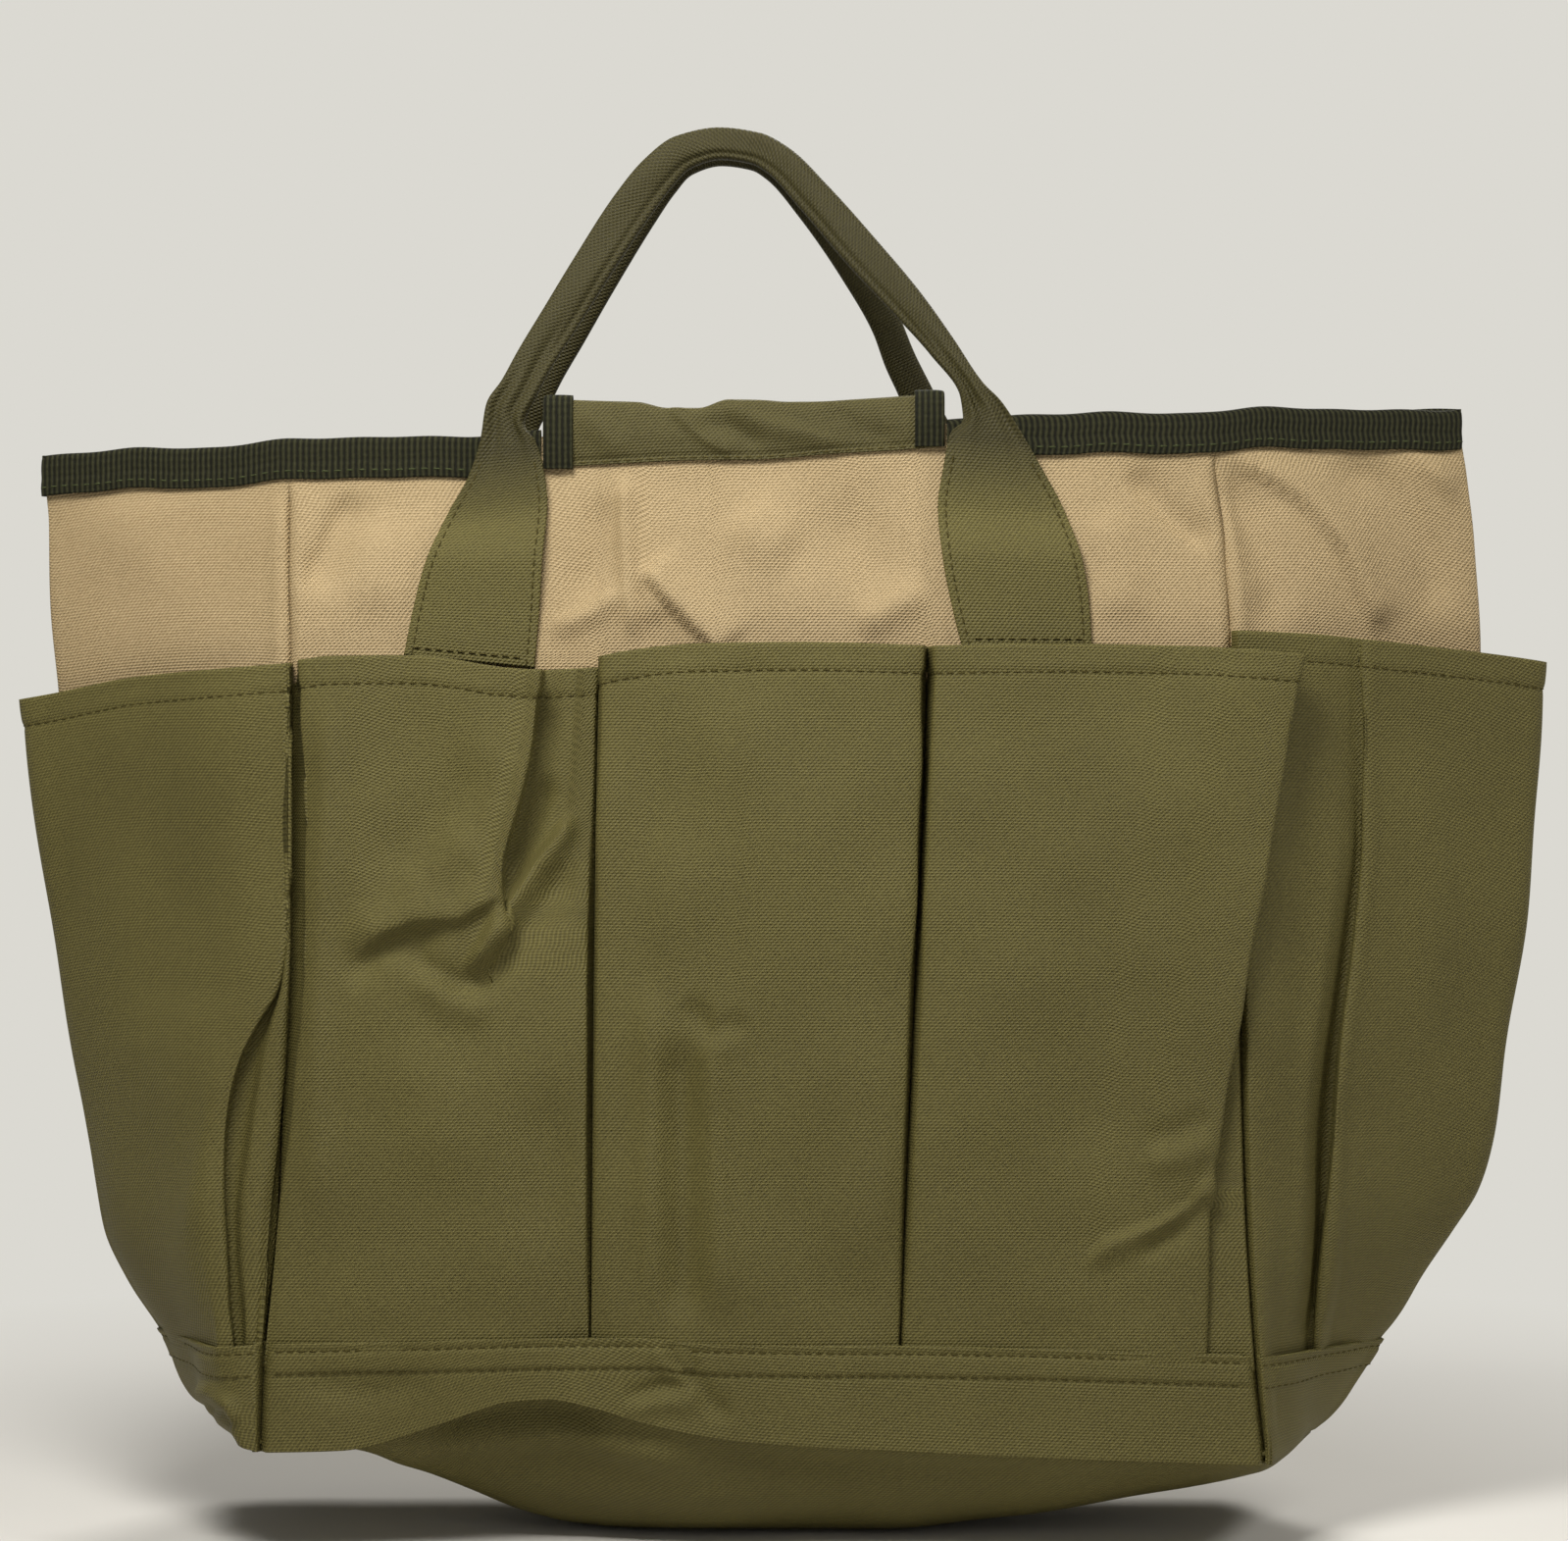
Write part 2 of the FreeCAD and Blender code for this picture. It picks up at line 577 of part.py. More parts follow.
def make_flap():
    face = "-1 * " + size("rim_depth")
    skin = size("flap_wall")
    tape = size("tape_wall")
    left = "-1 * " + size("flap_left")
    right = size("flap_right")
    tape_end_left = left + " + " + size("flap_tape_width")
    tape_end_right = right + " - " + size("flap_tape_width")
    low = "-1 * " + size("flap_drop")
    high = size("flap_rise")

    root_front = face + " - " + skin
    rim_block("flap_root", left + " + " + tape, right + " - " + tape, root_front, face, low, high)
    for word, start, end, inner_edge in (
            ("left", left, tape_end_left, left + " + " + tape),
            ("right", tape_end_right, right, right + " - " + tape)):
        name = "flap_root_" + word + "_binding"
        body = new_body(name)
        outer_edge = start if word == "left" else end
        free_edge = end if word == "left" else start
        points = [
            (outer_edge, face),
            (outer_edge, root_front + " - " + tape),
            (free_edge, root_front + " - " + tape),
            (free_edge, root_front),
            (inner_edge, root_front),
            (inner_edge, face),
        ]
        sketches = [level_sketch(body, name + "_low", "rim", points, low),
                    level_sketch(body, name + "_high", "rim", points, high)]
        loft(body, sketches, name + "_cloth")

    # The tongue hangs behind the front panel, clear of it, from the fold down
    gap = size("moving_gap")
    tongue_near = face + " + " + size("wall") + " + " + gap + " + " + tape
    tongue_far = tongue_near + " + " + skin
    trim = size("tongue_trim")
    tongue_left = left + " + " + trim
    tongue_right = right + " - " + trim
    top = high + " - " + gap
    bottom = high + " - " + size("tongue_length")
    rim_block("flap_tongue", tongue_left + " + " + tape, tongue_right + " - " + tape,
              tongue_near, tongue_far, bottom + " + " + tape, top)
    for word, outer_edge, toward in (("left", tongue_left, "+"), ("right", tongue_right, "-")):
        name = "flap_tongue_" + word + "_binding"
        body = new_body(name)
        free_edge = outer_edge + " " + toward + " " + size("flap_tape_width")
        cloth_edge = outer_edge + " " + toward + " " + tape
        points = [
            (outer_edge, tongue_near + " - " + tape),
            (free_edge, tongue_near + " - " + tape),
            (free_edge, tongue_near),
            (cloth_edge, tongue_near),
            (cloth_edge, tongue_far),
            (free_edge, tongue_far),
            (free_edge, tongue_far + " + " + tape),
            (outer_edge, tongue_far + " + " + tape),
        ]
        end_of_tape = bottom + " + " + size("flap_tape_width")
        sketches = [level_sketch(body, name + "_low", "rim", points, end_of_tape),
                    level_sketch(body, name + "_high", "rim", points, top)]
        loft(body, sketches, name + "_cloth")

    # Tape around the free end of the tongue
    name = "flap_tongue_end_binding"
    body = new_body(name)
    near = tongue_near + " - " + tape
    far = tongue_far + " + " + tape
    block = strip_between(tongue_left, tongue_right, near, far)
    loft(body, [level_sketch(body, name + "_low", "rim", block, bottom),
                level_sketch(body, name + "_high", "rim", block, end_of_tape)], name + "_cloth")
    slot = strip_between(tongue_left + " + " + tape, tongue_right + " - " + tape, tongue_near, tongue_far)
    loft(body, [level_sketch(body, name + "_slot_low", "rim", slot, bottom + " + " + tape),
                level_sketch(body, name + "_slot_high", "rim", slot, end_of_tape)],
         name + "_slot", "SubtractiveLoft")

    # Hook strip on the tongue's back, and loop strip inside the back panel
    middle = "(" + right + " + (" + left + ")) / 2"
    strip_start = middle + " - " + size("strip_width") + " / 2"
    strip_end = middle + " + " + size("strip_width") + " / 2"
    hook_low = end_of_tape + " + 1"
    rim_block("flap_hook_strip", strip_start, strip_end, tongue_far, tongue_far + " + " + size("strip_wall"),
              hook_low, hook_low + " + " + size("strip_height"))
    # The loop strip sits over the inner leaf of the back rim's tape
    loop_far = size("rim_depth") + " - " + size("wall") + " - " + tape
    rim_block("back_loop_strip", strip_start, strip_end, loop_far, loop_far + " - " + size("strip_wall"),
              "-1 * " + size("tape_height"), "0")


def check_document():
    for item in doc.Objects:
        for state in item.State:
            if state in ("Invalid", "Error"):
                raise RuntimeError(item.Label + " is " + state)


def export_bodies():
    bodies = [item for item in doc.Objects if item.TypeId == "PartDesign::Body"]
    for body in bodies:
        shape = body.Shape
        if shape.isNull() or not shape.isValid() or shape.Volume <= 0:
            raise RuntimeError(body.Label + " has no valid solid")
        if len(shape.Solids) != 1:
            raise RuntimeError(body.Label + " is not one solid")
    for body in bodies:
        body.Shape.exportStep(os.path.join("parts", body.Label + ".step"))
    print(len(bodies), "sub-parts written")


make_panels()
make_bands()
make_base()
make_side_pockets()
make_gusset_pockets()
make_rim_tapes()
make_tabs()
make_handle(FRONT, "front", FRONT_RIGHT_LEG)
make_handle(BACK, "back", BACK_RIGHT_LEG)
make_flap()
doc.recompute()
check_document()
export_bodies()
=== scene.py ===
import math

import bpy
import numpy as np
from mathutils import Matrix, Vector


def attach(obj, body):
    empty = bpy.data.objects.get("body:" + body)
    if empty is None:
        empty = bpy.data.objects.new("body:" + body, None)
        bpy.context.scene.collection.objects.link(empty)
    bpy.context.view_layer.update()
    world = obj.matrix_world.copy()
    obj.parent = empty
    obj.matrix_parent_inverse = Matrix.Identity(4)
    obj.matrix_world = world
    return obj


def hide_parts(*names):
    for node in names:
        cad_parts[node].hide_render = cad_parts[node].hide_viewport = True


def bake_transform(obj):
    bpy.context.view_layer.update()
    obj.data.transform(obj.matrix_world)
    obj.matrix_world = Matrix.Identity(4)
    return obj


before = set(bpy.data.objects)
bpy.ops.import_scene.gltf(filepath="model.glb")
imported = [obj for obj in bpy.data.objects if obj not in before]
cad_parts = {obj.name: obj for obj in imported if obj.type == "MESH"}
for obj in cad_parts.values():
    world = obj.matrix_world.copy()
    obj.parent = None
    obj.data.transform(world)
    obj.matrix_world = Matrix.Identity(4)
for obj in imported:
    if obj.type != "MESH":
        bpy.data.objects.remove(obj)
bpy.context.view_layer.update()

# Lengths below are millimetres, until a mesh is made from them.
MM = 0.001

# The wall's outline: height, left corner, right corner, left fold, right fold, half depth
OUTLINE = [
    (28.0, -148.6, 137.0, -166.0, 157.0, 48.0),
    (59.0, -147.5, 134.0, -183.0, 176.0, 47.0),
    (98.6, -144.0, 132.0, -199.5, 203.0, 44.0),
    (257.0, -142.5, 129.6, -215.8, 206.6, 31.0),
    (290.0, -143.6, 128.0, -217.9, 205.4, 26.5),
    (311.0, -143.5, 125.4, -218.8, 202.5, 24.0),
    (334.0, -143.5, 124.4, -219.4, 199.6, 24.0),
]
RIM_HEIGHT = 321.4
RIM_SLOPE = 0.0332
CLOTH = 0.9
BAND_CLOTH = 1.4
BASE_CLOTH = 1.3
FOLDED_TAPE = 0.8


# Curves and grids

def steepness(places, values):
    """Slopes of a smooth curve through the values that never overshoots them."""
    steps = np.diff(places)[:, None]
    rates = np.diff(values, axis=0) / steps
    slopes = np.zeros_like(values)
    slopes[0] = rates[0]
    slopes[-1] = rates[-1]
    same = rates[:-1] * rates[1:] > 0
    near = 2 * steps[1:] + steps[:-1]
    far = steps[1:] + 2 * steps[:-1]
    safe_low = np.where(same, rates[:-1], 1.0)
    safe_high = np.where(same, rates[1:], 1.0)
    slopes[1:-1] = np.where(same, (near + far) / (near / safe_low + far / safe_high), 0.0)
    return slopes


def follow(places, values, wanted):
    """Values of the smooth curve through (places, values) at the wanted places."""
    places = np.asarray(places, float)
    values = np.asarray(values, float)
    flat = values.reshape(len(places), -1)
    slopes = steepness(places, flat)
    wanted = np.clip(np.asarray(wanted, float), places[0], places[-1])
    index = np.clip(np.searchsorted(places, wanted, side="right") - 1, 0, len(places) - 2)
    step = (places[index + 1] - places[index])[..., None]
    share = (wanted - places[index])[..., None] / step
    rise = share * share * (3 - 2 * share)
    found = (flat[index] * (1 - rise) + flat[index + 1] * rise
             + step * slopes[index] * share * (1 - share) ** 2
             - step * slopes[index + 1] * share ** 2 * (1 - share))
    return found.reshape(wanted.shape + values.shape[1:])[()]


def curve(*points):
    """A function through given (place, value) points."""
    places, values = zip(*points)
    return lambda wanted: follow(places, values, wanted)


def fine_line(points, count):
    """More points along a smooth line through evenly numbered ones."""
    points = np.array(points, float)
    return follow(np.arange(len(points)), points, np.linspace(0, len(points) - 1, count))


corner_left, corner_right, fold_left, fold_right, half_depth = (
    curve(*[(row[0], row[column]) for row in OUTLINE]) for column in range(1, 6))


def rim_at(x):
    return RIM_HEIGHT + RIM_SLOPE * x


def smooth_step(low, high, value):
    share = np.clip((np.asarray(value, float) - low) / (high - low), 0, 1)
    return share * share * (3 - 2 * share)


def bell(distance, width):
    return np.exp(-(distance / width) ** 2)


def rounded_fold(share, corner, fold, roundness):
    """Place across a gusset: its fold for a share of 0, its corners for 1 and -1."""
    out = (np.hypot(share, roundness) - roundness) / (math.hypot(1, roundness) - roundness)
    return fold + (corner - fold) * out


def spacing(keys, axis):
    """Places of the rows or columns of a key grid, by their mean distance."""
    steps = np.linalg.norm(np.diff(keys, axis=axis), axis=2).mean(axis=1 - axis)
    return np.concatenate([[0.0], np.cumsum(np.maximum(steps, 0.05))])


def refine(keys, rows, columns):
    """Smooth grid of points through a small grid of keys; close keys make a sharp fold."""
    keys = np.asarray(keys, float)
    across = spacing(keys, 1)
    wide = follow(across, np.swapaxes(keys, 0, 1), np.linspace(0, across[-1], columns))
    up = spacing(keys, 0)
    return follow(up, np.swapaxes(wide, 0, 1), np.linspace(0, up[-1], rows))


def shares(rows, columns):
    """Shares of the way up as a column, and across as a row."""
    return np.linspace(0, 1, rows)[:, None], np.linspace(0, 1, columns)[None, :]


def normals(grid):
    """Outward directions, for columns that run anticlockwise seen from above and rows that climb."""
    facing = np.cross(np.gradient(grid, axis=1), np.gradient(grid, axis=0))
    return facing / np.maximum(np.linalg.norm(facing, axis=2, keepdims=True), 1e-9)


def raise_by(grid, height):
    """Moves a grid outwards by a height for each point."""
    return grid + normals(grid) * height[..., None]


def to_back(grid):
    """The same cloth on the back of the bag."""
    return grid[:, ::-1] * np.array([1.0, -1.0, 1.0])


def run_along(line):
    """Length of a line up to each of its points."""
    return np.concatenate([[0.0], np.cumsum(np.linalg.norm(np.diff(line, axis=0), axis=1))])


def run_lengths(grid, axis):
    steps = np.linalg.norm(np.diff(grid, axis=axis), axis=2)
    start = np.zeros_like(np.take(steps, [0], axis=axis))
    return np.concatenate([start, np.cumsum(steps, axis=axis)], axis=axis)


def edge_distances(grid):
    """Distances of each point from the lower edge, from the upper edge and from the nearer side."""
    climbs = run_lengths(grid, 0)
    runs = run_lengths(grid, 1)
    return climbs, climbs[-1][None, :] - climbs, np.minimum(runs, runs[:, -1:] - runs)


# Relief: creases, dents and slack

def crease(grid, path, height, width, fade=0.3, skew=0.0):
    """A soft ridge, or a furrow for a negative height, along a path of (x, z) points.
    It fades in and out over a share of the path. skew makes the side to the right of the path
    steeper, or the left one when it is negative."""
    x = grid[..., 0]
    z = grid[..., 2]
    nearest = np.full(x.shape, 1e9)
    signed = np.zeros(x.shape)
    place = np.zeros(x.shape)
    lengths = [math.dist(start, end) for start, end in zip(path[:-1], path[1:])]
    whole = sum(lengths)
    done = 0.0
    for start, end, length in zip(path[:-1], path[1:], lengths):
        dx = (end[0] - start[0]) / length
        dz = (end[1] - start[1]) / length
        along = np.clip((x - start[0]) * dx + (z - start[1]) * dz, 0, length)
        off_x = x - start[0] - along * dx
        off_z = z - start[1] - along * dz
        distance = np.hypot(off_x, off_z)
        closer = distance < nearest
        nearest = np.where(closer, distance, nearest)
        signed = np.where(closer, off_x * dz - off_z * dx, signed)
        place = np.where(closer, (done + along) / whole, place)
        done += length
    reach = width * np.where(signed > 0, 1.0 - skew, 1.0 + skew)
    ends = smooth_step(0, fade, place) * smooth_step(0, fade, 1 - place)
    return height * bell(nearest, np.maximum(reach, 0.2)) * ends


def creases(grid, table):
    """Creases of a table: path, height, width, and where they differ from soft ones, fade and skew."""
    return sum(crease(grid, *row) for row in table)


def slack(grid, height, length, seed):
    """Gentle waves in many directions, the same on every run."""
    chance = np.random.default_rng(seed)
    waves = np.zeros(grid.shape[:2])
    count = 7
    for _ in range(count):
        heading = chance.uniform(0, math.pi)
        stretch = length * chance.uniform(0.7, 1.6)
        shift = chance.uniform(0, 2 * math.pi)
        across = grid[..., 0] * math.cos(heading) + grid[..., 2] * math.sin(heading) + 0.6 * grid[..., 1]
        waves += np.sin(across * 2 * math.pi / stretch + shift)
    return waves * height / math.sqrt(count)


def front_share(grid, reach):
    """1 on the front half, and 0 on the back half."""
    return smooth_step(0, reach, -grid[..., 1])


# Meshes

def add_piece(name, points, faces, body, dress, nodes=(), places=None):
    """Smooth piece that rides on a body, or on none when body is empty, and stands for CAD nodes.
    places is where each point lies on the flat cloth, and is stored in metres."""
    mesh = bpy.data.meshes.new(name)
    mesh.from_pydata((points * MM).tolist(), [], faces)
    if places is not None:
        layer = mesh.uv_layers.new(name="cloth")
        corners = np.empty(len(mesh.loops), dtype=np.int32)
        mesh.loops.foreach_get("vertex_index", corners)
        layer.data.foreach_set("uv", (places * MM)[corners].ravel().astype(np.float32))
    mesh.polygons.foreach_set("use_smooth", [True] * len(mesh.polygons))
    mesh.update()
    piece = bpy.data.objects.new(name, mesh)
    bpy.context.collection.objects.link(piece)
    material, slot = dress
    mesh.materials.append(material)
    if nodes:
        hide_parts(*nodes)
    if body:
        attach(piece, body)
    return piece


def quads(*corners):
    return np.stack(corners, -1).reshape(-1, 4)


def cloth(name, grid, body, dress, nodes, thickness=CLOTH):
    """Closed sheet of cloth whose outer face is the grid."""
    rows, columns = grid.shape[:2]
    inner = grid - normals(grid) * thickness
    u = run_lengths(grid, 1)
    u = u - u[:, columns // 2][:, None]
    v = run_lengths(grid, 0)
    count = rows * columns
    index = np.arange(count).reshape(rows, columns)
    outer_faces = quads(index[:-1, :-1], index[:-1, 1:], index[1:, 1:], index[1:, :-1])
    edge = np.concatenate([index[0, :], index[1:, -1], index[-1, -2::-1], index[-2:0:-1, 0]])
    after = np.roll(edge, -1)
    side_faces = quads(edge, edge + count, after + count, after)
    faces = np.concatenate([outer_faces, outer_faces[:, ::-1] + count, side_faces])
    points = np.concatenate([grid.reshape(-1, 3), inner.reshape(-1, 3)])
    places = np.stack([u, v], -1).reshape(-1, 2)
    return add_piece(name, points, faces.tolist(), body, dress, nodes, np.concatenate([places, places]))


def ring_faces(count, around):
    """Faces of a skin over rings of points, closed at both ends."""
    index = np.arange(count * around).reshape(count, around)
    turned = np.roll(index, -1, axis=1)
    sides = quads(index[:-1], turned[:-1], turned[1:], index[1:]).tolist()
    return sides + [index[0, ::-1].tolist(), index[-1].tolist()]


def on_grid(grid, across, up):
    """Points at shares of a grid's columns and rows."""
    rows, columns = grid.shape[:2]
    column = np.clip(np.asarray(across) * (columns - 1), 0, columns - 1.001)
    row = np.clip(np.asarray(up) * (rows - 1), 0, rows - 1.001)
    c = column.astype(int)
    r = row.astype(int)
    fc = (column - c)[:, None]
    fr = (row - r)[:, None]
    low = grid[r, c] * (1 - fc) + grid[r, c + 1] * fc
    high = grid[r + 1, c] * (1 - fc) + grid[r + 1, c + 1] * fc
    return low * (1 - fr) + high * fr


def seam_at(grid, across, up):
    """A seam: points on a grid with their outward directions."""
    return on_grid(grid, across, up), on_grid(normals(grid), across, up)


def level_seam(grid, distance, start, end):
    """Seam at a distance below a grid's top edge, between two shares of its width."""
    climbs = run_lengths(grid, 0)
    rows, columns = grid.shape[:2]
    across = np.linspace(start, end, 300)
    up = []
    for share in across:
        heights = climbs[:, int(round(share * (columns - 1)))]
        up.append(np.interp(heights[-1] - distance, heights, np.arange(rows)) / (rows - 1))
    return seam_at(grid, across, np.array(up))


def point_along(place, run, table):
    return np.array([np.interp(place, run, table[:, axis]) for axis in range(3)])


def stitches(name, seams, body, dress, pitch, length):
    """Rows of separate stitches that lie along seams."""
    around = 6
    girth = 0.24
    lift = 0.04
    look = 0.8
    rings = [(-0.5, 0.35), (-0.32, 0.9), (0.0, 1.0), (0.32, 0.9), (0.5, 0.35)]
    flatness = 0.8
    template = []
    for along, size in rings:
        for step in range(around):
            turn = 2 * math.pi * step / around
            wide = girth * size
            template.append((along * length, math.cos(turn) * wide, math.sin(turn) * wide * flatness))
    faces = ring_faces(len(rings), around)
    points = []
    shells = []
    for line, facing in seams:
        run = run_along(line)
        for middle in np.arange(pitch / 2, run[-1] - pitch / 2, pitch):
            centre = point_along(middle, run, line)
            along = point_along(middle + look, run, line) - point_along(middle - look, run, line)
            along = along / max(np.linalg.norm(along), 1e-9)
            up = point_along(middle, run, facing)
            up = up - along * np.dot(up, along)
            up = up / max(np.linalg.norm(up), 1e-9)
            side = np.cross(up, along)
            start = len(points)
            for place in template:
                points.append(centre + up * lift + along * place[0] + side * place[1] + up * place[2])
            shells.extend(tuple(start + corner for corner in face) for face in faces)
    add_piece(name, np.array(points), shells, body, dress)


# Materials

def linear(red, green, blue):
    """Colour as written on a 0 to 255 screen scale, in linear light."""
    values = []
    for value in (red, green, blue):
        share = value / 255
        values.append(share / 12.92 if share <= 0.04045 else ((share + 0.055) / 1.055) ** 2.4)
    return (*values, 1.0)


class Nodes:
    """Short calls for building one material."""

    def __init__(self, name):
        self.material = bpy.data.materials.new(name)
        self.material.use_nodes = True
        self.tree = self.material.node_tree
        self.shader = self.tree.nodes["Principled BSDF"]

    def add(self, kind, **settings):
        node = self.tree.nodes.new(kind)
        for key, value in settings.items():
            setattr(node, key, value)
        return node

    def link(self, source, target):
        self.tree.links.new(source, target)

    def feed(self, socket, value):
        """A number or colour goes straight into a socket, anything else is linked to it."""
        if isinstance(value, (int, float, tuple)):
            socket.default_value = value
        else:
            self.link(value, socket)

    def math(self, operation, *values):
        node = self.add("ShaderNodeMath", operation=operation)
        for socket, value in zip(node.inputs, values):
            self.feed(socket, value)
        return node.outputs[0]

    def clamped(self, *values):
        """MULTIPLY_ADD, kept between 0 and 1."""
        result = self.math("MULTIPLY_ADD", *values)
        result.node.use_clamp = True
        return result

    def wave(self, coordinate, pitch, shift=0.0):
        """Sine of a coordinate in metres, from 0 to 1, that repeats every pitch millimetres."""
        turn = self.math("MULTIPLY_ADD", coordinate, 2 * math.pi / (pitch * MM), shift)
        return self.math("MULTIPLY_ADD", self.math("SINE", turn), 0.5, 0.5)

    def mix(self, share, first, second):
        node = self.add("ShaderNodeMix", data_type="RGBA")
        for number, value in ((0, share), (6, first), (7, second)):
            self.feed(node.inputs[number], value)
        return node.outputs[2]

    def noise(self, size, detail):
        """Soft noise on the object, about 0.3 to 0.7, with lumps of a size in millimetres."""
        node = self.add("ShaderNodeTexNoise")
        node.inputs["Scale"].default_value = 1 / (size * MM)
        node.inputs["Detail"].default_value = detail
        self.link(self.add("ShaderNodeTexCoord").outputs["Object"], node.inputs["Vector"])
        return node.outputs["Fac"]

    def cloth_place(self):
        """The two coordinates of the cloth itself, in metres."""
        split = self.add("ShaderNodeSeparateXYZ")
        self.link(self.add("ShaderNodeUVMap", uv_map="cloth").outputs["UV"], split.inputs[0])
        return split.outputs[0], split.outputs[1]

    def finish(self, height, distance, strength=1.0, **values):
        """Bump height and shader inputs, whose names have underscores for spaces."""
        node = self.add("ShaderNodeBump")
        node.inputs["Strength"].default_value = strength
        node.inputs["Distance"].default_value = distance * MM
        self.link(height, node.inputs["Height"])
        self.link(node.outputs["Normal"], self.shader.inputs["Normal"])
        for key, value in values.items():
            self.feed(self.shader.inputs[key.replace("_", " ")], value)
        return self.material


def twill(name, light, middle, dark, painted_shade_reach=None):
    """Coarse twill: diagonal ribs crossed by single yarns, with a cloudy, slightly worn colour.
    The last argument is the reach in millimetres, from the middle of a strap, within which the loop's colour
    is darkened with painted shade."""
    nodes = Nodes(name)
    u, v = nodes.cloth_place()
    rib_pitch = 1.3
    yarn_pitch = 0.85
    rib = nodes.wave(nodes.math("ADD", u, nodes.math("MULTIPLY", v, -0.9)), rib_pitch)
    yarn = nodes.wave(v, yarn_pitch)
    weave = nodes.math("MULTIPLY_ADD", yarn, 0.42, nodes.math("MULTIPLY", rib, 0.58))
    clouds = nodes.noise(55.0, 3.0)
    grain = nodes.noise(1.1, 2.0)
    tone = nodes.math("MULTIPLY_ADD", clouds, 0.9, -0.45)
    shade = nodes.math("MULTIPLY_ADD", weave, 0.62, 0.19)
    shade = nodes.math("ADD", shade, nodes.math("MULTIPLY_ADD", grain, 0.36, -0.18))
    shade = nodes.math("ADD", shade, nodes.math("MULTIPLY", tone, 0.35))
    low = nodes.clamped(shade, 2.0, 0.0)
    high = nodes.clamped(shade, 2.0, -1.0)
    colour = nodes.mix(high, nodes.mix(low, dark, middle), light)
    # Painted shade: within the reach from the strap's middle, the colour is multiplied by 0.36, so the loop
    # looks shaded.
    if painted_shade_reach:
        soft_end = 22.0
        fade = nodes.clamped(nodes.math("ABSOLUTE", v), -1 / (soft_end * MM), painted_shade_reach / soft_end)
        painted_shade_colour = nodes.mix(1.0, colour, (0.36, 0.36, 0.36, 1.0))
        painted_shade_colour.node.blend_type = "MULTIPLY"
        colour = nodes.mix(fade, colour, painted_shade_colour)
    rough = nodes.math("MULTIPLY_ADD", grain, 0.2, 0.52)
    bumps = nodes.math("MULTIPLY_ADD", grain, 0.35, weave)
    return nodes.finish(bumps, 0.26, Base_Color=colour, Roughness=rough, Specular_IOR_Level=0.22,
                        Sheen_Weight=0.04, Sheen_Tint=light, Sheen_Roughness=0.5)


def webbing(name, light, dark):
    """Ribbed tape: close ribs across it, with a fainter row of knots along it."""
    nodes = Nodes(name)
    u, v = nodes.cloth_place()
    rib = nodes.wave(u, 1.7)
    row = nodes.wave(v, 2.1, 1.2)
    weave = nodes.math("MULTIPLY_ADD", row, 0.15, nodes.math("MULTIPLY", rib, 0.85))
    grain = nodes.noise(0.9, 2.0)
    shade = nodes.math("ADD", weave, nodes.math("MULTIPLY_ADD", grain, 0.7, -0.5))
    shade.node.use_clamp = True
    bumps = nodes.math("MULTIPLY_ADD", grain, 0.3, weave)
    return nodes.finish(bumps, 0.4, Base_Color=nodes.mix(shade, dark, light), Roughness=0.8,
                        Specular_IOR_Level=0.15)


def thread(name, light, dark):
    """Twisted sewing thread."""
    nodes = Nodes(name)
    strands = nodes.noise(0.5, 1.0)
    return nodes.finish(strands, 0.15, 0.6, Base_Color=nodes.mix(strands, dark, light), Roughness=0.8,
                        Specular_IOR_Level=0.1)


def pile(name, light, dark):
    """Short dense pile of a hook or loop strip."""
    nodes = Nodes(name)
    tufts = nodes.add("ShaderNodeTexVoronoi")
    tufts.inputs["Scale"].default_value = 1 / (0.8 * MM)
    nodes.link(nodes.add("ShaderNodeTexCoord").outputs["Object"], tufts.inputs["Vector"])
    deep = tufts.outputs["Distance"]
    return nodes.finish(deep, 0.5, Base_Color=nodes.mix(deep, light, dark), Roughness=0.95)


# What a piece wears: its material, with a slot name that nothing uses
OLIVES = (linear(117, 110, 63), linear(92, 85, 44), linear(55, 49, 21))
OLIVE = (twill("olive_twill", *OLIVES), "olive_cloth")
# The strap's twill, with painted shade darkening its loop
STRAP_SHADE_OLIVE = (twill("olive_strap_painted_shade_twill", *OLIVES, 142.0), "olive_cloth")
# Painted shade: a darker copy of the olive twill for the flap, which faces up into the light more than the
# walls do
FLAP_SHADE_OLIVES = (linear(97, 91, 53), linear(76, 70, 37), linear(46, 41, 18))
FLAP_SHADE_OLIVE = (twill("olive_flap_painted_shade_twill", *FLAP_SHADE_OLIVES), "olive_cloth")
TAN = (twill("tan_twill", linear(192, 170, 133), linear(168, 147, 109), linear(126, 105, 70)), "tan_cloth")
WEBBING = (webbing("dark_webbing", linear(57, 57, 36), linear(18, 18, 9)), "webbing")
THREAD = (thread("olive_thread", linear(84, 76, 40), linear(56, 50, 23)), "olive_cloth")
GREEN_THREAD = (thread("green_thread", linear(78, 84, 54), linear(48, 54, 32)), "webbing")
PILE = (pile("dark_pile", linear(48, 50, 36), linear(20, 21, 15)), "hook_and_loop")
BACKDROP = linear(219, 217, 210)


# Tan body

# Seams between the pockets by height, and mouths of the gusset pockets by x
seam_left = curve((59, -54.6), (134, -54.4), (204, -53.8), (262, -52.8))
seam_right = curve((59, 33.6), (106, 35.4), (162, 38.0), (218, 40.6), (262, 42.0))
left_gusset_mouth = curve((-227, 243.2), (-222, 243.8), (-202, 247.5), (-188, 249.5), (-165, 251.2),
                          (-138, 253.2))
right_gusset_mouth = curve((127, 262.6), (152, 261.7), (172, 260.0), (200, 257.5), (227, 254.2))

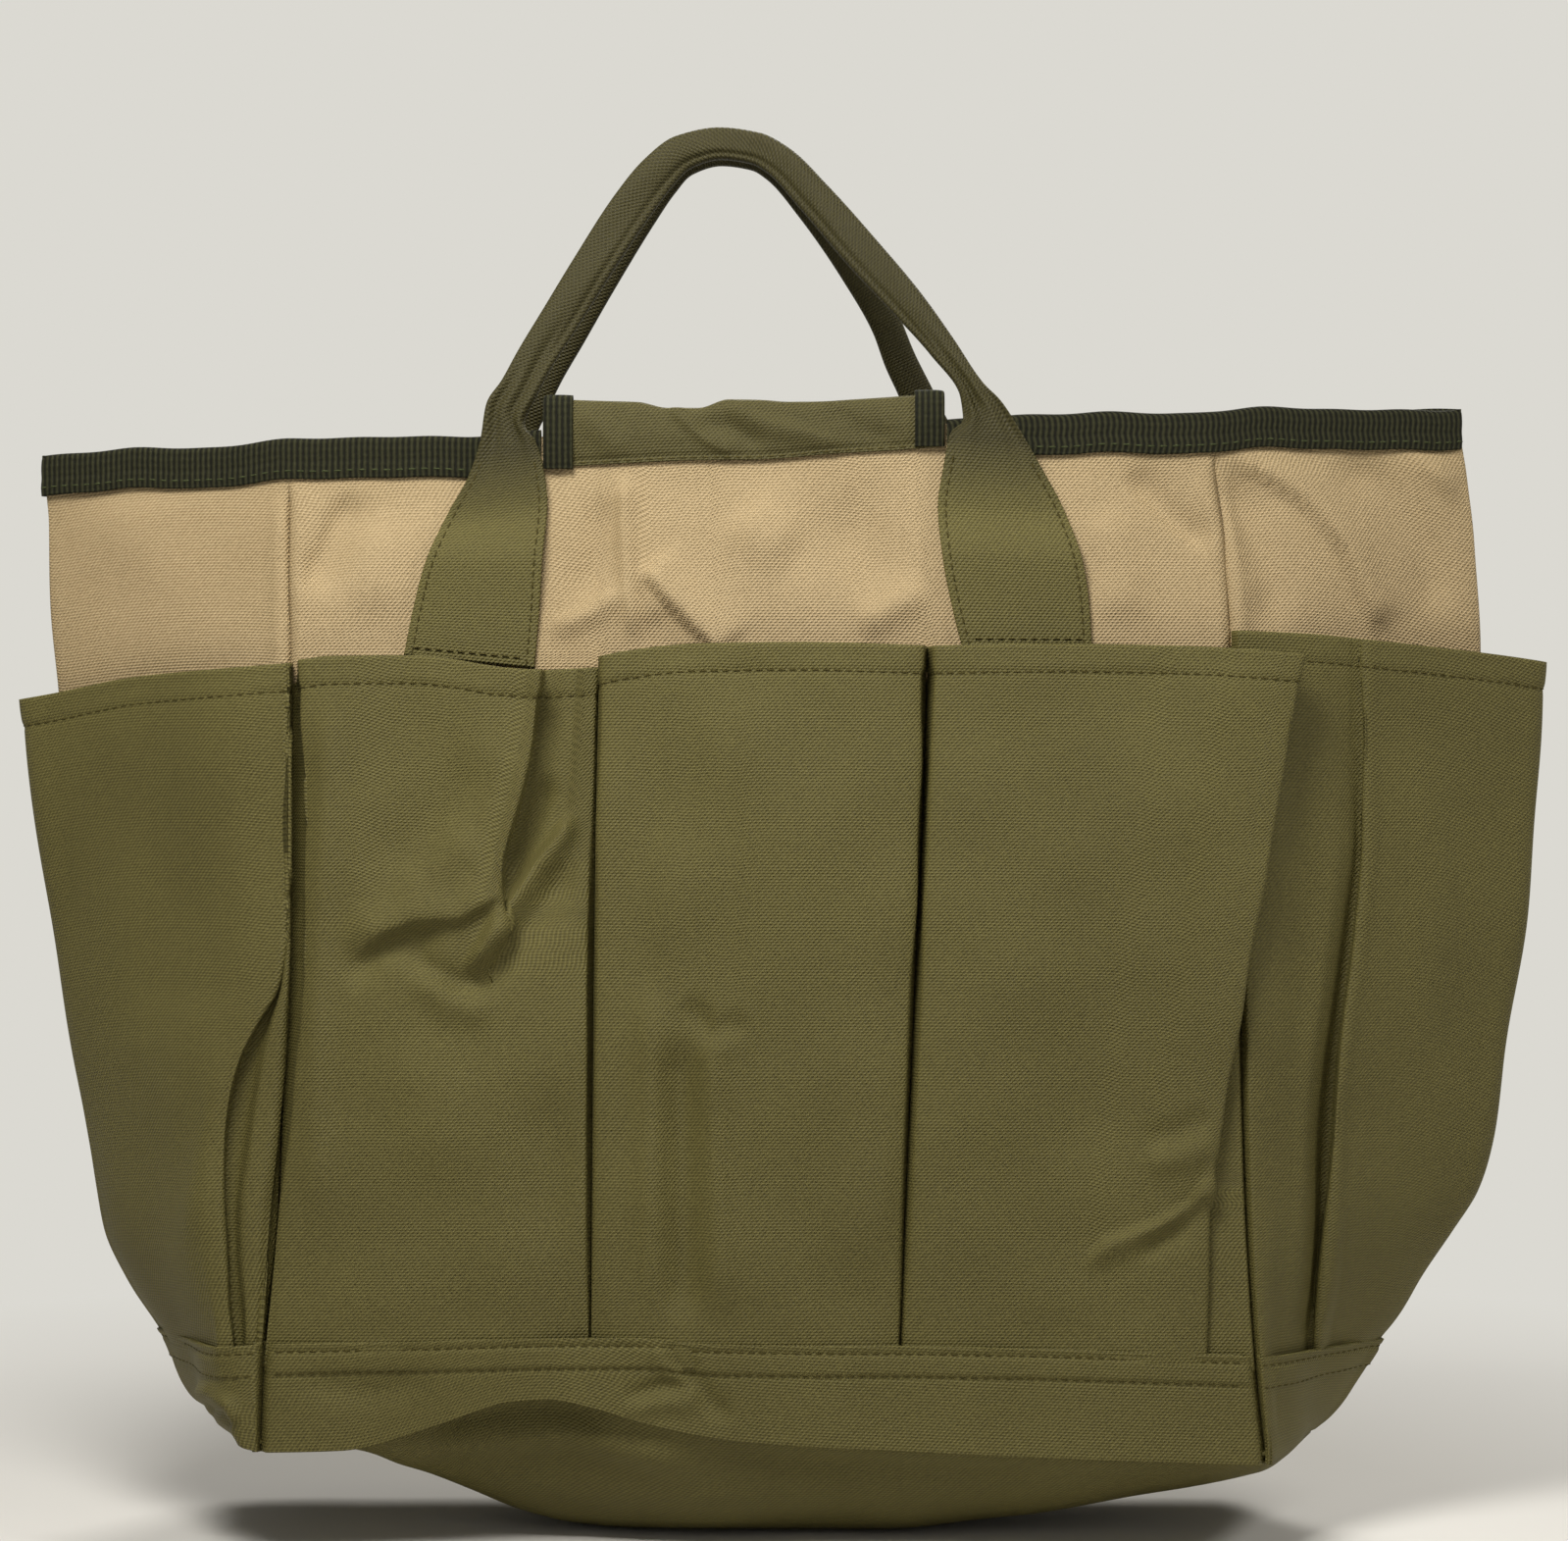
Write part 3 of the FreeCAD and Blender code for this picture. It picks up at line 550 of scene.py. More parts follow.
TAN_CREASES = [
    ([(-124, 306), (-131, 290), (-139, 272)], -2.6, 5.5, 0.3, 0.4),
    ([(-116, 300), (-118, 280), (-116, 262)], 2.1, 8.0, 0.4),
    ([(-46, 312), (-46.5, 292), (-45, 274), (-43, 258)], 2.4, 2.6, 0.2, 0.3),
    ([(-52, 305), (-53, 285), (-60, 268)], -2.1, 6.0),
    ([(-42, 281), (-31, 269), (-16, 254)], 3.4, 5.0, 0.15, 0.8),
    ([(-45, 276), (-56, 268), (-69, 262)], 2.4, 3.0, 0.3, 0.3),
    ([(-38, 270), (-34, 260), (-31, 248)], -1.8, 6.0),
    ([(-14, 300), (-6, 290), (6, 284)], 2.6, 9.0, 0.4),
    ([(14, 306), (24, 285), (36, 268)], -1.9, 9.0, 0.4),
    ([(20, 262), (32, 270), (44, 275)], 2.1, 5.0),
    ([(98, 310), (111, 297), (125, 285)], -2.6, 4.0, 0.25, 0.4),
    ([(92, 300), (98, 280), (97, 262)], 2.1, 8.0),
    ([(127, 316), (141, 308), (153, 300), (164, 287), (175, 262)], 3.0, 5.0, 0.12, 0.75),
    ([(127, 311), (136, 296), (142, 276), (140, 258)], -2.4, 6.0, 0.25),
    ([(160, 316), (177, 306), (190, 288), (195, 266)], -1.9, 6.0, 0.2),
    ([(178, 320), (191, 311), (203, 301)], 2.2, 4.0, 0.3, 0.4),
    ([(-215, 300), (-190, 290), (-165, 268)], 1.4, 12.0, 0.4),
]
BACK_TAN_CREASES = [
    ([(-100, 312), (-90, 288), (-94, 262)], 1.5, 7.0),
    ([(60, 300), (30, 288), (10, 262)], 1.8, 5.0),
    ([(-20, 312), (-26, 290), (-10, 264)], -1.5, 5.0),
]


def front_wall(rows, columns):
    """Front panel from behind the lower band to the rim."""
    low = 50.0
    climb, share = shares(rows, columns)
    x = np.zeros((rows, columns))
    for _ in range(3):
        z = low + climb * (rim_at(x) - low)
        x = corner_left(z) + share * (corner_right(z) - corner_left(z))
    return np.stack([x, -half_depth(z), z], -1)


def gusset_wall(side, rows, columns):
    """Gusset from one corner around its fold to the other, anticlockwise from above."""
    low = 48.0
    climb, share = shares(rows, columns)
    share = (1 - 2 * share) * (1 if side == "left" else -1)
    corner, fold = (corner_left, fold_left) if side == "left" else (corner_right, fold_right)
    x = np.zeros((rows, columns))
    for _ in range(3):
        z = low + climb * (rim_at(x) - low)
        x = rounded_fold(share, corner(z), fold(z), 0.045)
    return np.stack([x, half_depth(z) * share, z], -1)


def sunk_seams(grid, sink, top, *lines):
    """Walls drawn in behind the pockets, up to a height, and further behind the slits between them."""
    depth = np.full(grid.shape[:2], sink)
    for line in lines:
        depth = np.maximum(depth, 5.0 * bell(grid[..., 0] - line(grid[..., 2]), 3.0))
    return -depth * (1 - smooth_step(top - 11, top, grid[..., 2]))


def tan_wall(grid, relief, corners, pocket_top, sunk):
    """Relief from the pockets up to the rim tape, with thin seams pulled in along the corners."""
    x = grid[..., 0]
    z = grid[..., 2]
    for corner in corners:
        away = np.abs(x - corner(z))
        relief = relief - 1.6 * bell(away, 1.2) + 0.5 * bell(away - 3.4, 2.0)
    below_tape = smooth_step(0, 9, rim_at(x) - 9.5 - z)
    above_pockets = smooth_step(*pocket_top, z)
    return raise_by(grid, relief * below_tape * above_pockets + sunk)


def make_tan_body():
    corners = (corner_left, corner_right)
    for face in ("front", "back"):
        if face == "front":
            wall = front_wall(150, 220)
            relief = creases(wall, TAN_CREASES) + slack(wall, 0.35, 46.0, 3)
        else:
            wall = front_wall(110, 160)
            relief = slack(wall, 0.6, 52.0, 4) + creases(wall, BACK_TAN_CREASES)
        sunk = sunk_seams(wall, 3.0, 253.0, corner_left, corner_right, seam_left, seam_right)
        wall = tan_wall(wall, relief, corners, (236, 250), sunk)
        if face == "back":
            wall = to_back(wall)
        cloth(face + "_panel_cloth", wall, "bag", TAN, [face + "_panel"])

    for side, corner, mouth, seed in (("left", corner_left, left_gusset_mouth, 5),
                                      ("right", corner_right, right_gusset_mouth, 6)):
        wall = gusset_wall(side, 110, 150)
        relief = slack(wall, 0.55, 60.0, seed) + creases(wall, TAN_CREASES) * front_share(wall, 4)
        sunk = sunk_seams(wall, 7.0, mouth(wall[..., 0]) - 3.0, corner)
        wall = tan_wall(wall, relief, (corner,), (228, 246), sunk)
        cloth(side + "_gusset_cloth", wall, "bag", TAN, [side + "_gusset"])


# Pockets of the front and the back

# How far the pockets stand off the walls, their folded edges and the slits beside them, by height
pocket_room = curve((50, 0.4), (59, 0.9), (98, 3.2), (160, 6.4), (220, 8.8), (262, 10.4))
left_fold = curve((59, -88.0), (150, -84.0), (185, -80.5), (205, -76.5), (219, -73.6), (232, -70.8),
                  (262, -68.4))
right_fold = curve((59, 120.4), (98, 121.0), (112, 123.2), (137, 127.4), (168, 132.9), (204, 139.8),
                   (235, 145.4), (262, 150.2))
slit_left = curve((28, -150.3), (60, -148.8), (78, -147.4), (99, -145.8), (120, -143.4), (150, -141.2),
                  (200, -140.4), (262, -141.4))
slit_right = curve((28, -148.0), (60, -146.6), (78, -144.7), (99, -143.0), (120, -140.3), (150, -138.2),
                   (200, -137.4), (262, -138.8))
# Heights of the pockets' mouths by x
left_mouth = curve((-145, 253.4), (-138, 253.9), (-121, 255.8), (-97, 254.4), (-71, 251.0), (-66, 251.2),
                   (-50, 252.2))
centre_mouth = curve((-55, 254.2), (-41.5, 257.0), (-27.5, 258.4), (9, 258.9), (44, 257.8))
right_mouth = curve((40, 257.8), (70, 258.4), (98, 258.1), (126, 257.3), (152, 255.2))

# Heights of the key sections, the height whose section the mouth takes, and the width of the hem
POCKET_ROWS = [52.0, 59.0, 72.0, 98.0, 125.0, 150.0, 175.0, 195.0, 215.0, 235.0]
GUSSET_ROWS = [50.0, 59.0, 72.0, 86.0, 98.0, 112.0, 125.0, 140.0, 150.0, 161.5, 180.0, 204.0, 228.0]
MOUTH_SECTION = 255.0
HEM = 8.0


def pocket_grid(columns_at, mouth, rows, columns, rows_at):
    """Refined pocket cloth. columns_at(z) gives its (x, y) keys; the last row follows the mouth."""
    keys = [[(x, y, z) for x, y in columns_at(z)] for z in rows_at]
    keys.append([(x, y, mouth(x)) for x, y in columns_at(MOUTH_SECTION)])
    return refine(keys, rows, columns)


def left_pocket_columns(z):
    depth = half_depth(z)
    room = pocket_room(z)
    corner = corner_left(z)
    fold = left_fold(z)
    seam = seam_left(z)
    near = slit_right(z)
    tucked = smooth_step(150, 212, z)
    front = depth + room
    step = tucked * (room - 1.6)
    return [
        (corner + 0.1, -depth + 3.6),
        ((corner + near) / 2 + 0.5, -depth + 1.0),
        (near - 0.1, -depth - 0.5 * room),
        (near + 0.5, -front + 0.6),
        (near + 2.4, -front - 0.1),
        (near + 8, -front - 0.6),
        ((corner + fold) / 2, -front - 1.3),
        (fold - 9, -front - 1.2 - 1.0 * tucked),
        (fold - 1.2, -front - 1.0 - 1.4 * tucked),
        (fold, -front - 1.0 - 0.6 * tucked),
        (fold + 1.2 - 1.7 * tucked, -front - 1.0 + 1.2 * tucked + 0.5 * step),
        (fold + 2.5 - 1.9 * tucked, -front - 1.0 + 1.4 * tucked + step),
        ((fold + seam) / 2, -front - 0.5 + tucked + step),
        (seam - 1.8, -front + 0.8 + step * 1.02),
        (seam - 0.9, -depth - 0.3),
        (seam - 0.1, -depth + 2.4),
    ]


def centre_pocket_columns(z):
    depth = half_depth(z)
    room = pocket_room(z)
    left = seam_left(z)
    right = seam_right(z)
    front = depth + room
    span = right - left
    return [
        (left - 0.1, -depth + 2.4),
        (left + 0.3, -depth - 0.4 * room),
        (left + 1.3, -front + 0.5),
        (left + 6, -front - 0.5),
        (left + 0.3 * span, -front - 1.0),
        (left + 0.6 * span, -front - 1.3),
        (right - 7, -front - 0.6),
        (right - 2.0, -front + 0.3),
        (right - 1.0, -depth - 0.4 * room),
        (right - 0.1, -depth + 2.4),
    ]


def right_pocket_columns(z):
    depth = half_depth(z)
    room = pocket_room(z)
    left = seam_right(z)
    corner = corner_right(z)
    fold = right_fold(z)
    front = depth + room
    span = fold - left
    return [
        (left - 0.1, -depth + 2.4),
        (left + 0.8, -depth - 0.4 * room),
        (left + 1.8, -front + 0.4),
        (left + 7, -front - 0.4),
        (left + 0.35 * span, -front - 1.0),
        (left + 0.7 * span, -front - 1.6),
        (fold - 6, -front - 1.8),
        (fold - 1.0, -front - 1.5),
        (fold, -front - 0.7),
        (fold - 1.6, -front + 1.0),
        (min(fold - 1.5, corner + 6), -depth - 0.35 * room),
        (corner - 1.2, -depth - 0.9),
        (corner + 0.1, -depth + 2.4),
    ]


LEFT_POCKET_CREASES = [
    ([(-124, 168), (-115, 176), (-105, 180), (-92, 181), (-82, 187), (-77, 198)], 3.2, 4.6, 0.2, 0.5),
    ([(-126, 160), (-116, 170), (-104, 174), (-94, 173)], -2.4, 4.5),
    ([(-58, 211), (-70, 195), (-80, 180), (-90, 164)], 4.2, 3.2, 0.15, 0.3),
    ([(-59, 198), (-68, 184), (-78, 170), (-88, 159)], -2.2, 5.0, 0.25),
    ([(-66, 222), (-72, 208), (-78, 193), (-84, 183)], -2.6, 3.4, 0.2),
    ([(-108, 174), (-102, 167), (-92, 162), (-80, 160)], -2.0, 3.4, 0.25),
    ([(-106, 166), (-94, 156), (-80, 152)], 1.7, 5.0),
    ([(-81, 228), (-98, 210), (-119, 188)], -1.9, 10.0),
    ([(-84, 206), (-98, 194), (-112, 184)], 1.6, 7.0),
    ([(-129, 248), (-131, 200), (-133, 150), (-132, 90)], 1.5, 4.5, 0.15),
    ([(-136, 240), (-137, 190), (-139, 130)], -1.2, 4.0, 0.2),
    ([(-114, 150), (-100, 130), (-96, 100)], 1.5, 12.0, 0.35),
    ([(-70, 140), (-66, 110), (-70, 78)], -1.4, 8.0, 0.35),
]
CENTRE_POCKET_CREASES = [
    ([(-22, 152), (-29, 136), (-29, 114), (-28.5, 90), (-28, 60)], -2.8, 6.0, 0.2),
    ([(-12, 160), (-20.5, 140), (-19.5, 118), (-18.5, 90), (-18, 62)], 1.9, 5.0, 0.2),
    ([(-38, 166), (-37, 130), (-36.5, 95), (-36, 62)], 2.0, 5.0, 0.2),
    ([(-30, 158), (-20, 148), (-8, 152)], -1.8, 4.0),
    ([(-38, 235), (-42, 190), (-40, 140)], -1.0, 8.0),
    ([(22, 150), (24, 110), (20, 70)], 0.9, 10.0),
]
RIGHT_POCKET_CREASES = [
    ([(124, 110), (116, 99), (106, 93), (92, 88), (84, 80)], 2.6, 3.0, 0.2, 0.5),
    ([(122, 103), (112, 92), (98, 84)], -2.2, 3.6),
    ([(124, 118), (114, 113), (100, 110)], 1.4, 4.0),
    ([(123, 126), (114, 120), (100, 117)], -1.2, 4.0),
    ([(60, 230), (66, 180), (60, 120)], 1.2, 15.0),
    ([(104, 240), (108, 190), (112, 140)], 1.4, 13.0),
    ([(84, 200), (88, 150), (84, 90)], -1.1, 12.0),
]


def finish_pocket(name, grid, relief, seams, node):
    """Pocket with its relief, and a hem that is thicker up to its stitches and pulled in along them."""
    from_foot, from_top, from_side = edge_distances(grid)
    quiet = smooth_step(6, 22, from_foot) * smooth_step(2, 10, from_top) * smooth_step(3, 12, from_side)
    hem = 0.35 * (1 - smooth_step(HEM - 0.6, HEM + 1.0, from_top)) - 0.35 * bell(from_top - HEM, 0.9)
    grid = raise_by(grid, relief * quiet + hem)
    cloth(name, grid, "bag", OLIVE, [node])
    seams.append(level_seam(grid, HEM, 0.03, 0.97))


def make_side_pockets(seams):
    for face in ("front", "back"):
        seed = 10 if face == "front" else 30
        for word, columns_at, mouth, table in (
                ("left", left_pocket_columns, left_mouth, LEFT_POCKET_CREASES),
                ("centre", centre_pocket_columns, centre_mouth, CENTRE_POCKET_CREASES),
                ("right", right_pocket_columns, right_mouth, RIGHT_POCKET_CREASES)):
            seed += 1
            fine = 190 if face == "front" else 120
            grid = pocket_grid(columns_at, mouth, fine, fine, POCKET_ROWS)
            if face == "front":
                relief = creases(grid, table) + slack(grid, 0.4, 42.0, seed)
                if word == "centre":
                    # The pocket's filled upper part
                    relief += 1.8 * bell(grid[..., 0] - 4, 30) * bell(grid[..., 2] - 205, 34)
            else:
                relief = slack(grid, 1.1, 60.0, seed) + slack(grid, 0.4, 28.0, seed + 50)
                grid = to_back(grid)
                relief = relief[:, ::-1]
            node = face + "_pocket_" + word
            finish_pocket(node + "_cloth", grid, relief, seams, node)


# Gusset pockets

# Outermost places and pleats of the gusset pockets, by height
left_reach = curve((50, -180.8), (55, -183.6), (59, -186.4), (72.5, -195), (87, -201.8), (104, -205),
                   (122, -207.6), (171, -216.4), (203, -221.3), (236, -225.6), (262, -226.6))
right_reach = curve((50, 174.0), (55, 178.2), (59, 181.4), (72.5, 189.6), (101.6, 207), (145, 215.8),
                    (189, 221.6), (241, 225.7), (262, 226.6))
left_pleat = curve((59, -156.1), (78, -158), (98, -159.4), (124, -157.5), (140, -154), (150, -149.5),
                   (161.5, -143.7), (179, -141.2), (204, -141.6), (262, -141.4))
right_pleat = curve((59, 153.6), (90, 156.8), (133, 159.8), (175, 165.4), (204, 168.2), (262, 168.0))


def left_gusset_columns(z):
    depth = half_depth(z)
    stand = 0.8 * pocket_room(z)
    corner = corner_left(z)
    reach = left_reach(z)
    near = slit_left(z)
    pleat = left_pleat(z)
    span = pleat - reach
    edge = -depth - stand
    pleat = min(pleat, near - 0.8)
    roll = near - pleat
    opened = smooth_step(1.0, 4.0, roll)
    return [
        (corner + 0.2, depth - 3.6),
        (corner - 2.0, depth + 0.6 * stand),
        (corner - 10, depth + 0.5 * stand - 2),
        (reach + 0.45 * span, 0.55 * depth + 0.5 * stand),
        (reach + 0.12 * span, 0.18 * depth),
        (reach + 1.2, 2.2),
        (reach, 0),
        (reach + 1.2, -2.2),
        (reach + 0.12 * span, -0.2 * depth),
        (reach + 0.45 * span, -0.55 * depth - 0.4 * stand),
        (reach + 0.8 * span, edge + 3.5),
        (pleat - 4, edge + 0.5),
        (pleat - 0.8, edge),
        (pleat, edge + 0.1 + 0.5 * opened),
        (pleat + 0.1 - 0.2 * opened, edge + 0.2 + 5.2 * opened),
        (pleat + 0.22 * roll, edge + 0.2 + 5.0 * opened),
        (pleat + 0.5 * roll, edge + 0.3 + 0.3 * opened),
        (pleat + 0.8 * roll, edge + 0.3),
        (pleat + 0.97 * roll, edge + 1.6),
        (near, -depth - 0.3 * stand),
        ((corner + near) / 2 - 0.5, -depth + 1.2),
        (corner - 0.1, -depth + 3.6),
    ]


def right_gusset_columns(z):
    depth = half_depth(z)
    stand = 0.5 * pocket_room(z)
    corner = corner_right(z)
    reach = right_reach(z)
    pleat = right_pleat(z)
    span = reach - corner
    slope = depth / span
    bulge = 0.3 + 0.9 * smooth_step(59, 90, z)
    sunk = 5.6 * (1 - smooth_step(120, 252, z)) * smooth_step(50, 84, z) + 0.3
    at_pleat = -depth * (1 - (pleat - corner) / span) - 0.9 * stand
    return [
        (corner - 0.1, -depth + 2.4),
        (corner + 1.6, -depth - 0.5 * stand - 0.4),
        (pleat - 12, at_pleat - 12 * slope - 0.5),
        (pleat - 8, at_pleat - 8 * slope - 0.3),
        (pleat - 4.5, at_pleat - 4.5 * slope + 0.45 * sunk),
        (pleat - 1.0, at_pleat + sunk),
        (pleat + 0.1, at_pleat + sunk),
        (pleat, at_pleat - 0.6),
        (pleat + 1.2, at_pleat - 0.9),
        (pleat + 6, at_pleat + 6 * slope - bulge),
        (corner + 0.88 * span, -0.16 * depth - 0.5 * stand),
        (reach - 1.2, -2.4),
        (reach, 0),
        (reach - 1.2, 2.4),
        (corner + 0.88 * span, 0.16 * depth + 0.5 * stand),
        (corner + 0.62 * span, 0.42 * depth + stand),
        (corner + 0.35 * span, 0.72 * depth + stand),
        (corner + 9, depth + 0.7 * stand - 1.5),
        (corner + 2.0, depth + 0.4 * stand),
        (corner - 0.1, depth - 2.4),
    ]


LEFT_GUSSET_CREASES = [
    ([(-196, 220), (-190, 170), (-184, 110)], 1.2, 14.0),
    ([(-165, 200), (-163, 150), (-172, 90)], -1.0, 9.0),
    ([(-160, 150), (-165, 120), (-170, 80)], 1.3, 4.5),
]
RIGHT_GUSSET_CREASES = [
    ([(186, 240), (190, 190), (184, 120)], 1.3, 10.0),
    ([(148, 240), (150, 190), (147, 120)], -1.0, 6.0),
]


def make_gusset_pockets(seams):
    for side, columns_at, mouth, table, seed in (
            ("left", left_gusset_columns, left_gusset_mouth, LEFT_GUSSET_CREASES, 41),
            ("right", right_gusset_columns, right_gusset_mouth, RIGHT_GUSSET_CREASES, 42)):
        grid = pocket_grid(columns_at, mouth, 170, 270, GUSSET_ROWS)
        relief = creases(grid, table) * front_share(grid, 6) + slack(grid, 0.55, 60.0, seed)
        finish_pocket(side + "_pocket_cloth", grid, relief, seams, side + "_pocket")


# Lower band

# Lower and upper edge of the front band by x, and reach of the side bands by height
front_hem = curve((-149, 28.9), (-125, 29.5), (-100, 36.0), (-88.6, 40.0), (-77.5, 43.2), (-66.4, 44.0),
                  (-53, 41.4), (-40, 37.4), (-27, 34.3), (-13, 32.1), (5, 30.7), (56, 28.2), (98, 26.4),
                  (138, 25.2))
BACK_HEM = 28.5
front_band_top = curve((-149, 59.6), (-111, 60.2), (-55, 61.4), (-34, 61.2), (-27, 59.8), (56, 58.8),
                       (123, 56.8), (137, 56.2))
left_band_reach = curve((27, -160), (32, -168.3), (36, -174.6), (55, -184.2), (59, -186.6))
right_band_reach = curve((23, 151), (27, 159.4), (44, 171.9), (54, 178.2), (57, 180.5))
BAND_STAND = 2.0
BAND_STITCHES = (2.3, 8.7)

FRONT_BAND_CREASES = [
    ([(-142, 50), (-116, 46), (-96, 50)], -1.2, 5.0),
    ([(-24, 47), (-34, 48), (-46, 44)], -1.2, 2.2),
    ([(-22, 42), (-34, 43), (-48, 40)], 1.1, 2.8),
    ([(-31, 62), (-26, 50), (-14, 36)], -1.5, 3.0, 0.25),
    ([(-38, 62), (-34, 54), (-22, 42)], 1.2, 3.0, 0.25),
]
LEFT_BAND_CREASES = [
    ([(-170, 42), (-163, 45), (-157, 42), (-154, 36)], 2.4, 2.6, 0.2),
    ([(-168, 36), (-162, 39), (-157, 35)], -2.2, 2.6, 0.2),
]

# Shares of the way from a corner to the fold, and of the depth there
LEFT_BAND_SECTION = [(0.05, 1.005), (0.2, 1.01), (0.33, 0.98), (0.44, 0.87), (0.66, 0.53), (0.9, 0.16)]
RIGHT_BAND_SECTION = [(0.03, 0.99), (0.12, 0.92), (0.28, 0.76), (0.45, 0.58), (0.68, 0.34), (0.9, 0.11)]


def side_band_columns(side, z):
    """Around one gusset at the lower band, anticlockwise from above, just outside the pocket's foot."""
    depth = half_depth(z) + BAND_STAND
    if side == "left":
        corner, reach, section = corner_left(z), left_band_reach(z), LEFT_BAND_SECTION
    else:
        corner, reach, section = corner_right(z), right_band_reach(z), RIGHT_BAND_SECTION
    span = reach - corner
    tucked_end = (corner - 0.003 * span, -depth + 4.4)
    front_half = [tucked_end] + [(corner + share * span, -depth * deep) for share, deep in section]
    back_half = [(x, -y) for x, y in front_half]
    ring = front_half + [(reach, 0.0)] + back_half[::-1]
    return ring[::-1] if side == "left" else ring


def side_band(side, low, high, rows, columns):
    """Side band whose lower and upper edges climb or fall towards the fold by given heights."""
    keys = []
    fold_column = 7
    for share in (0.0, 0.12, 0.3, 0.5, 0.75, 1.0):
        row = []
        for index in range(2 * fold_column + 1):
            towards_fold = 1 - abs(index - fold_column) / fold_column
            bottom = low[0] + (low[1] - low[0]) * towards_fold
            top = high[0] + (high[1] - high[0]) * towards_fold
            z = bottom + share * (top - bottom)
            row.append((*side_band_columns(side, z)[index], z))
        keys.append(row)
    return refine(keys, rows, columns)


def add_band(side, grid, height, seams, start):
    grid = raise_by(grid, height)
    if side == "back":
        grid = to_back(grid)
    node = side + "_lower_band"
    cloth(node + "_cloth", grid, "bag", OLIVE, [node], BAND_CLOTH)
    for distance in BAND_STITCHES:
        seams.append(level_seam(grid, distance, start, 1 - start))


def make_bands(seams):
    """Lower bands: a raised upper strip with two rows of stitches, and ends tucked under the next piece."""
    rows = 60
    first, second = BAND_STITCHES
    climb, share = shares(rows, 260)
    for face in ("front", "back"):
        x = np.repeat(-148.6 + share * (137.0 + 148.6), rows, axis=0)
        hem_line = front_hem(x) if face == "front" else BACK_HEM
        z = hem_line + climb * (front_band_top(x) - hem_line)
        x = corner_left(z) - 0.2 + share * (corner_right(z) - corner_left(z) + 0.4)
        grid = np.stack([x, -half_depth(z) - BAND_STAND, z], -1)
        if face == "front":
            relief = slack(grid, 0.35, 40.0, 51) + creases(grid, FRONT_BAND_CREASES)
        else:
            relief = slack(grid, 0.6, 40.0, 52)
        from_top = front_band_top(x) - z
        ridge = 0.5 * (1 - smooth_step(8.2, 9.6, from_top))
        ridge -= 0.4 * bell(from_top - first, 0.8) + 0.4 * bell(from_top - second, 0.8)
        tucked_ends = -4.0 * bell(x - corner_left(z), 1.3) - 4.0 * bell(x - corner_right(z), 1.3)
        _, _, from_side = edge_distances(grid)
        height = (relief + ridge) * smooth_step(1, 5, from_side) + tucked_ends
        add_band(face, grid, height, seams, 0.012)

    for side, low, high, seed in (("left", (28.6, 33.5), (59.8, 57.0), 53),
                                  ("right", (25.4, 26.5), (56.2, 53.8), 54)):
        grid = side_band(side, low, high, rows, 220)
        relief = slack(grid, 0.7, 34.0, seed)
        if side == "left":
            relief += creases(grid, LEFT_BAND_CREASES) * front_share(grid, 8)
        _, from_top, from_side = edge_distances(grid)
        ridge = 0.4 * (1 - smooth_step(8.2, 9.6, from_top)) - 0.4 * bell(from_top - first, 0.8)
        height = (relief * smooth_step(0, 5, from_top) + ridge) * smooth_step(7, 12, from_side)
        add_band(side, grid, height, seams, 0.03)


# Slack base

# Lowest height, half width and front edge of the base, by x
base_bottom = curve((-167, 33), (-160, 29.5), (-148, 27.0), (-125, 26.0), (-108, 18.5), (-91, 11.0),
                    (-76, 5.0), (-60, 1.0), (-44, 0.0), (30, 0.0), (58, 2.6), (86, 7.6), (115, 12.5),
                    (134, 16.6), (147, 20.0), (157, 26))
base_width = curve((-167, 6), (-160, 20), (-149, 46.5), (-140, 48.6), (-110, 48.2), (-96, 45.5),
                   (-80, 43.5), (-62, 43.5), (-46, 47.0), (-30, 48.8), (128, 48.8), (137, 47.6),
                   (148, 27), (157, 5))
base_front_edge = curve((-167, 35.5), (-149, 31), (-125, 32), (-100, 39.5), (-88.6, 44), (-77.5, 47),
                        (-66.4, 48), (-50, 44), (-36, 39), (-22, 36), (28, 32.5), (84, 30.5), (137, 28),
                        (157, 28.5))
BASE_BACK_EDGE = 31.0
BASE_CREASES = [
    ([(-100, 34), (-86, 40), (-66, 42), (-48, 38)], -2.5, 4.0, 0.2),
    ([(-118, 25), (-98, 30), (-84, 31), (-62, 33), (-40, 28), (-20, 22)], 2.6, 5.0, 0.2),
    ([(-110, 20), (-70, 16), (-20, 14), (40, 15)], 1.2, 6.0, 0.25),
    ([(-30, 30), (20, 24), (90, 21)], -1.0, 4.0, 0.25),
]


def make_base():
    """From the front band's lower edge down to the ground and up to the back band."""
    rows = 150
    x = np.repeat(np.linspace(-166.5, 156.5, 300)[None, :], rows, axis=0)
    turn = np.linspace(-1, 1, rows)[:, None]
    edge = np.where(turn < 0, base_front_edge(x), BASE_BACK_EDGE)
    bottom = np.minimum(base_bottom(x), edge - 2.0)
    across = np.abs(turn)
    z = bottom + (edge - bottom) * across ** 3.0
    y = base_width(x) * np.sign(turn) * across ** 0.85
    grid = np.stack([x, y, z], -1)[:, ::-1]
    relief = slack(grid, 0.9, 70.0, 61)
    relief += creases(grid, BASE_CREASES) * smooth_step(6, 24, -grid[..., 1])
    off_edge = smooth_step(0, 0.1, 1 - across)
    off_ground = smooth_step(0.4, 6.0, grid[..., 2])
    grid = raise_by(grid, relief * off_edge * off_ground)
    cloth("base_cloth", grid, "bag", OLIVE, ["base_panel"], BASE_CLOTH)


# Webbing folded over the rim

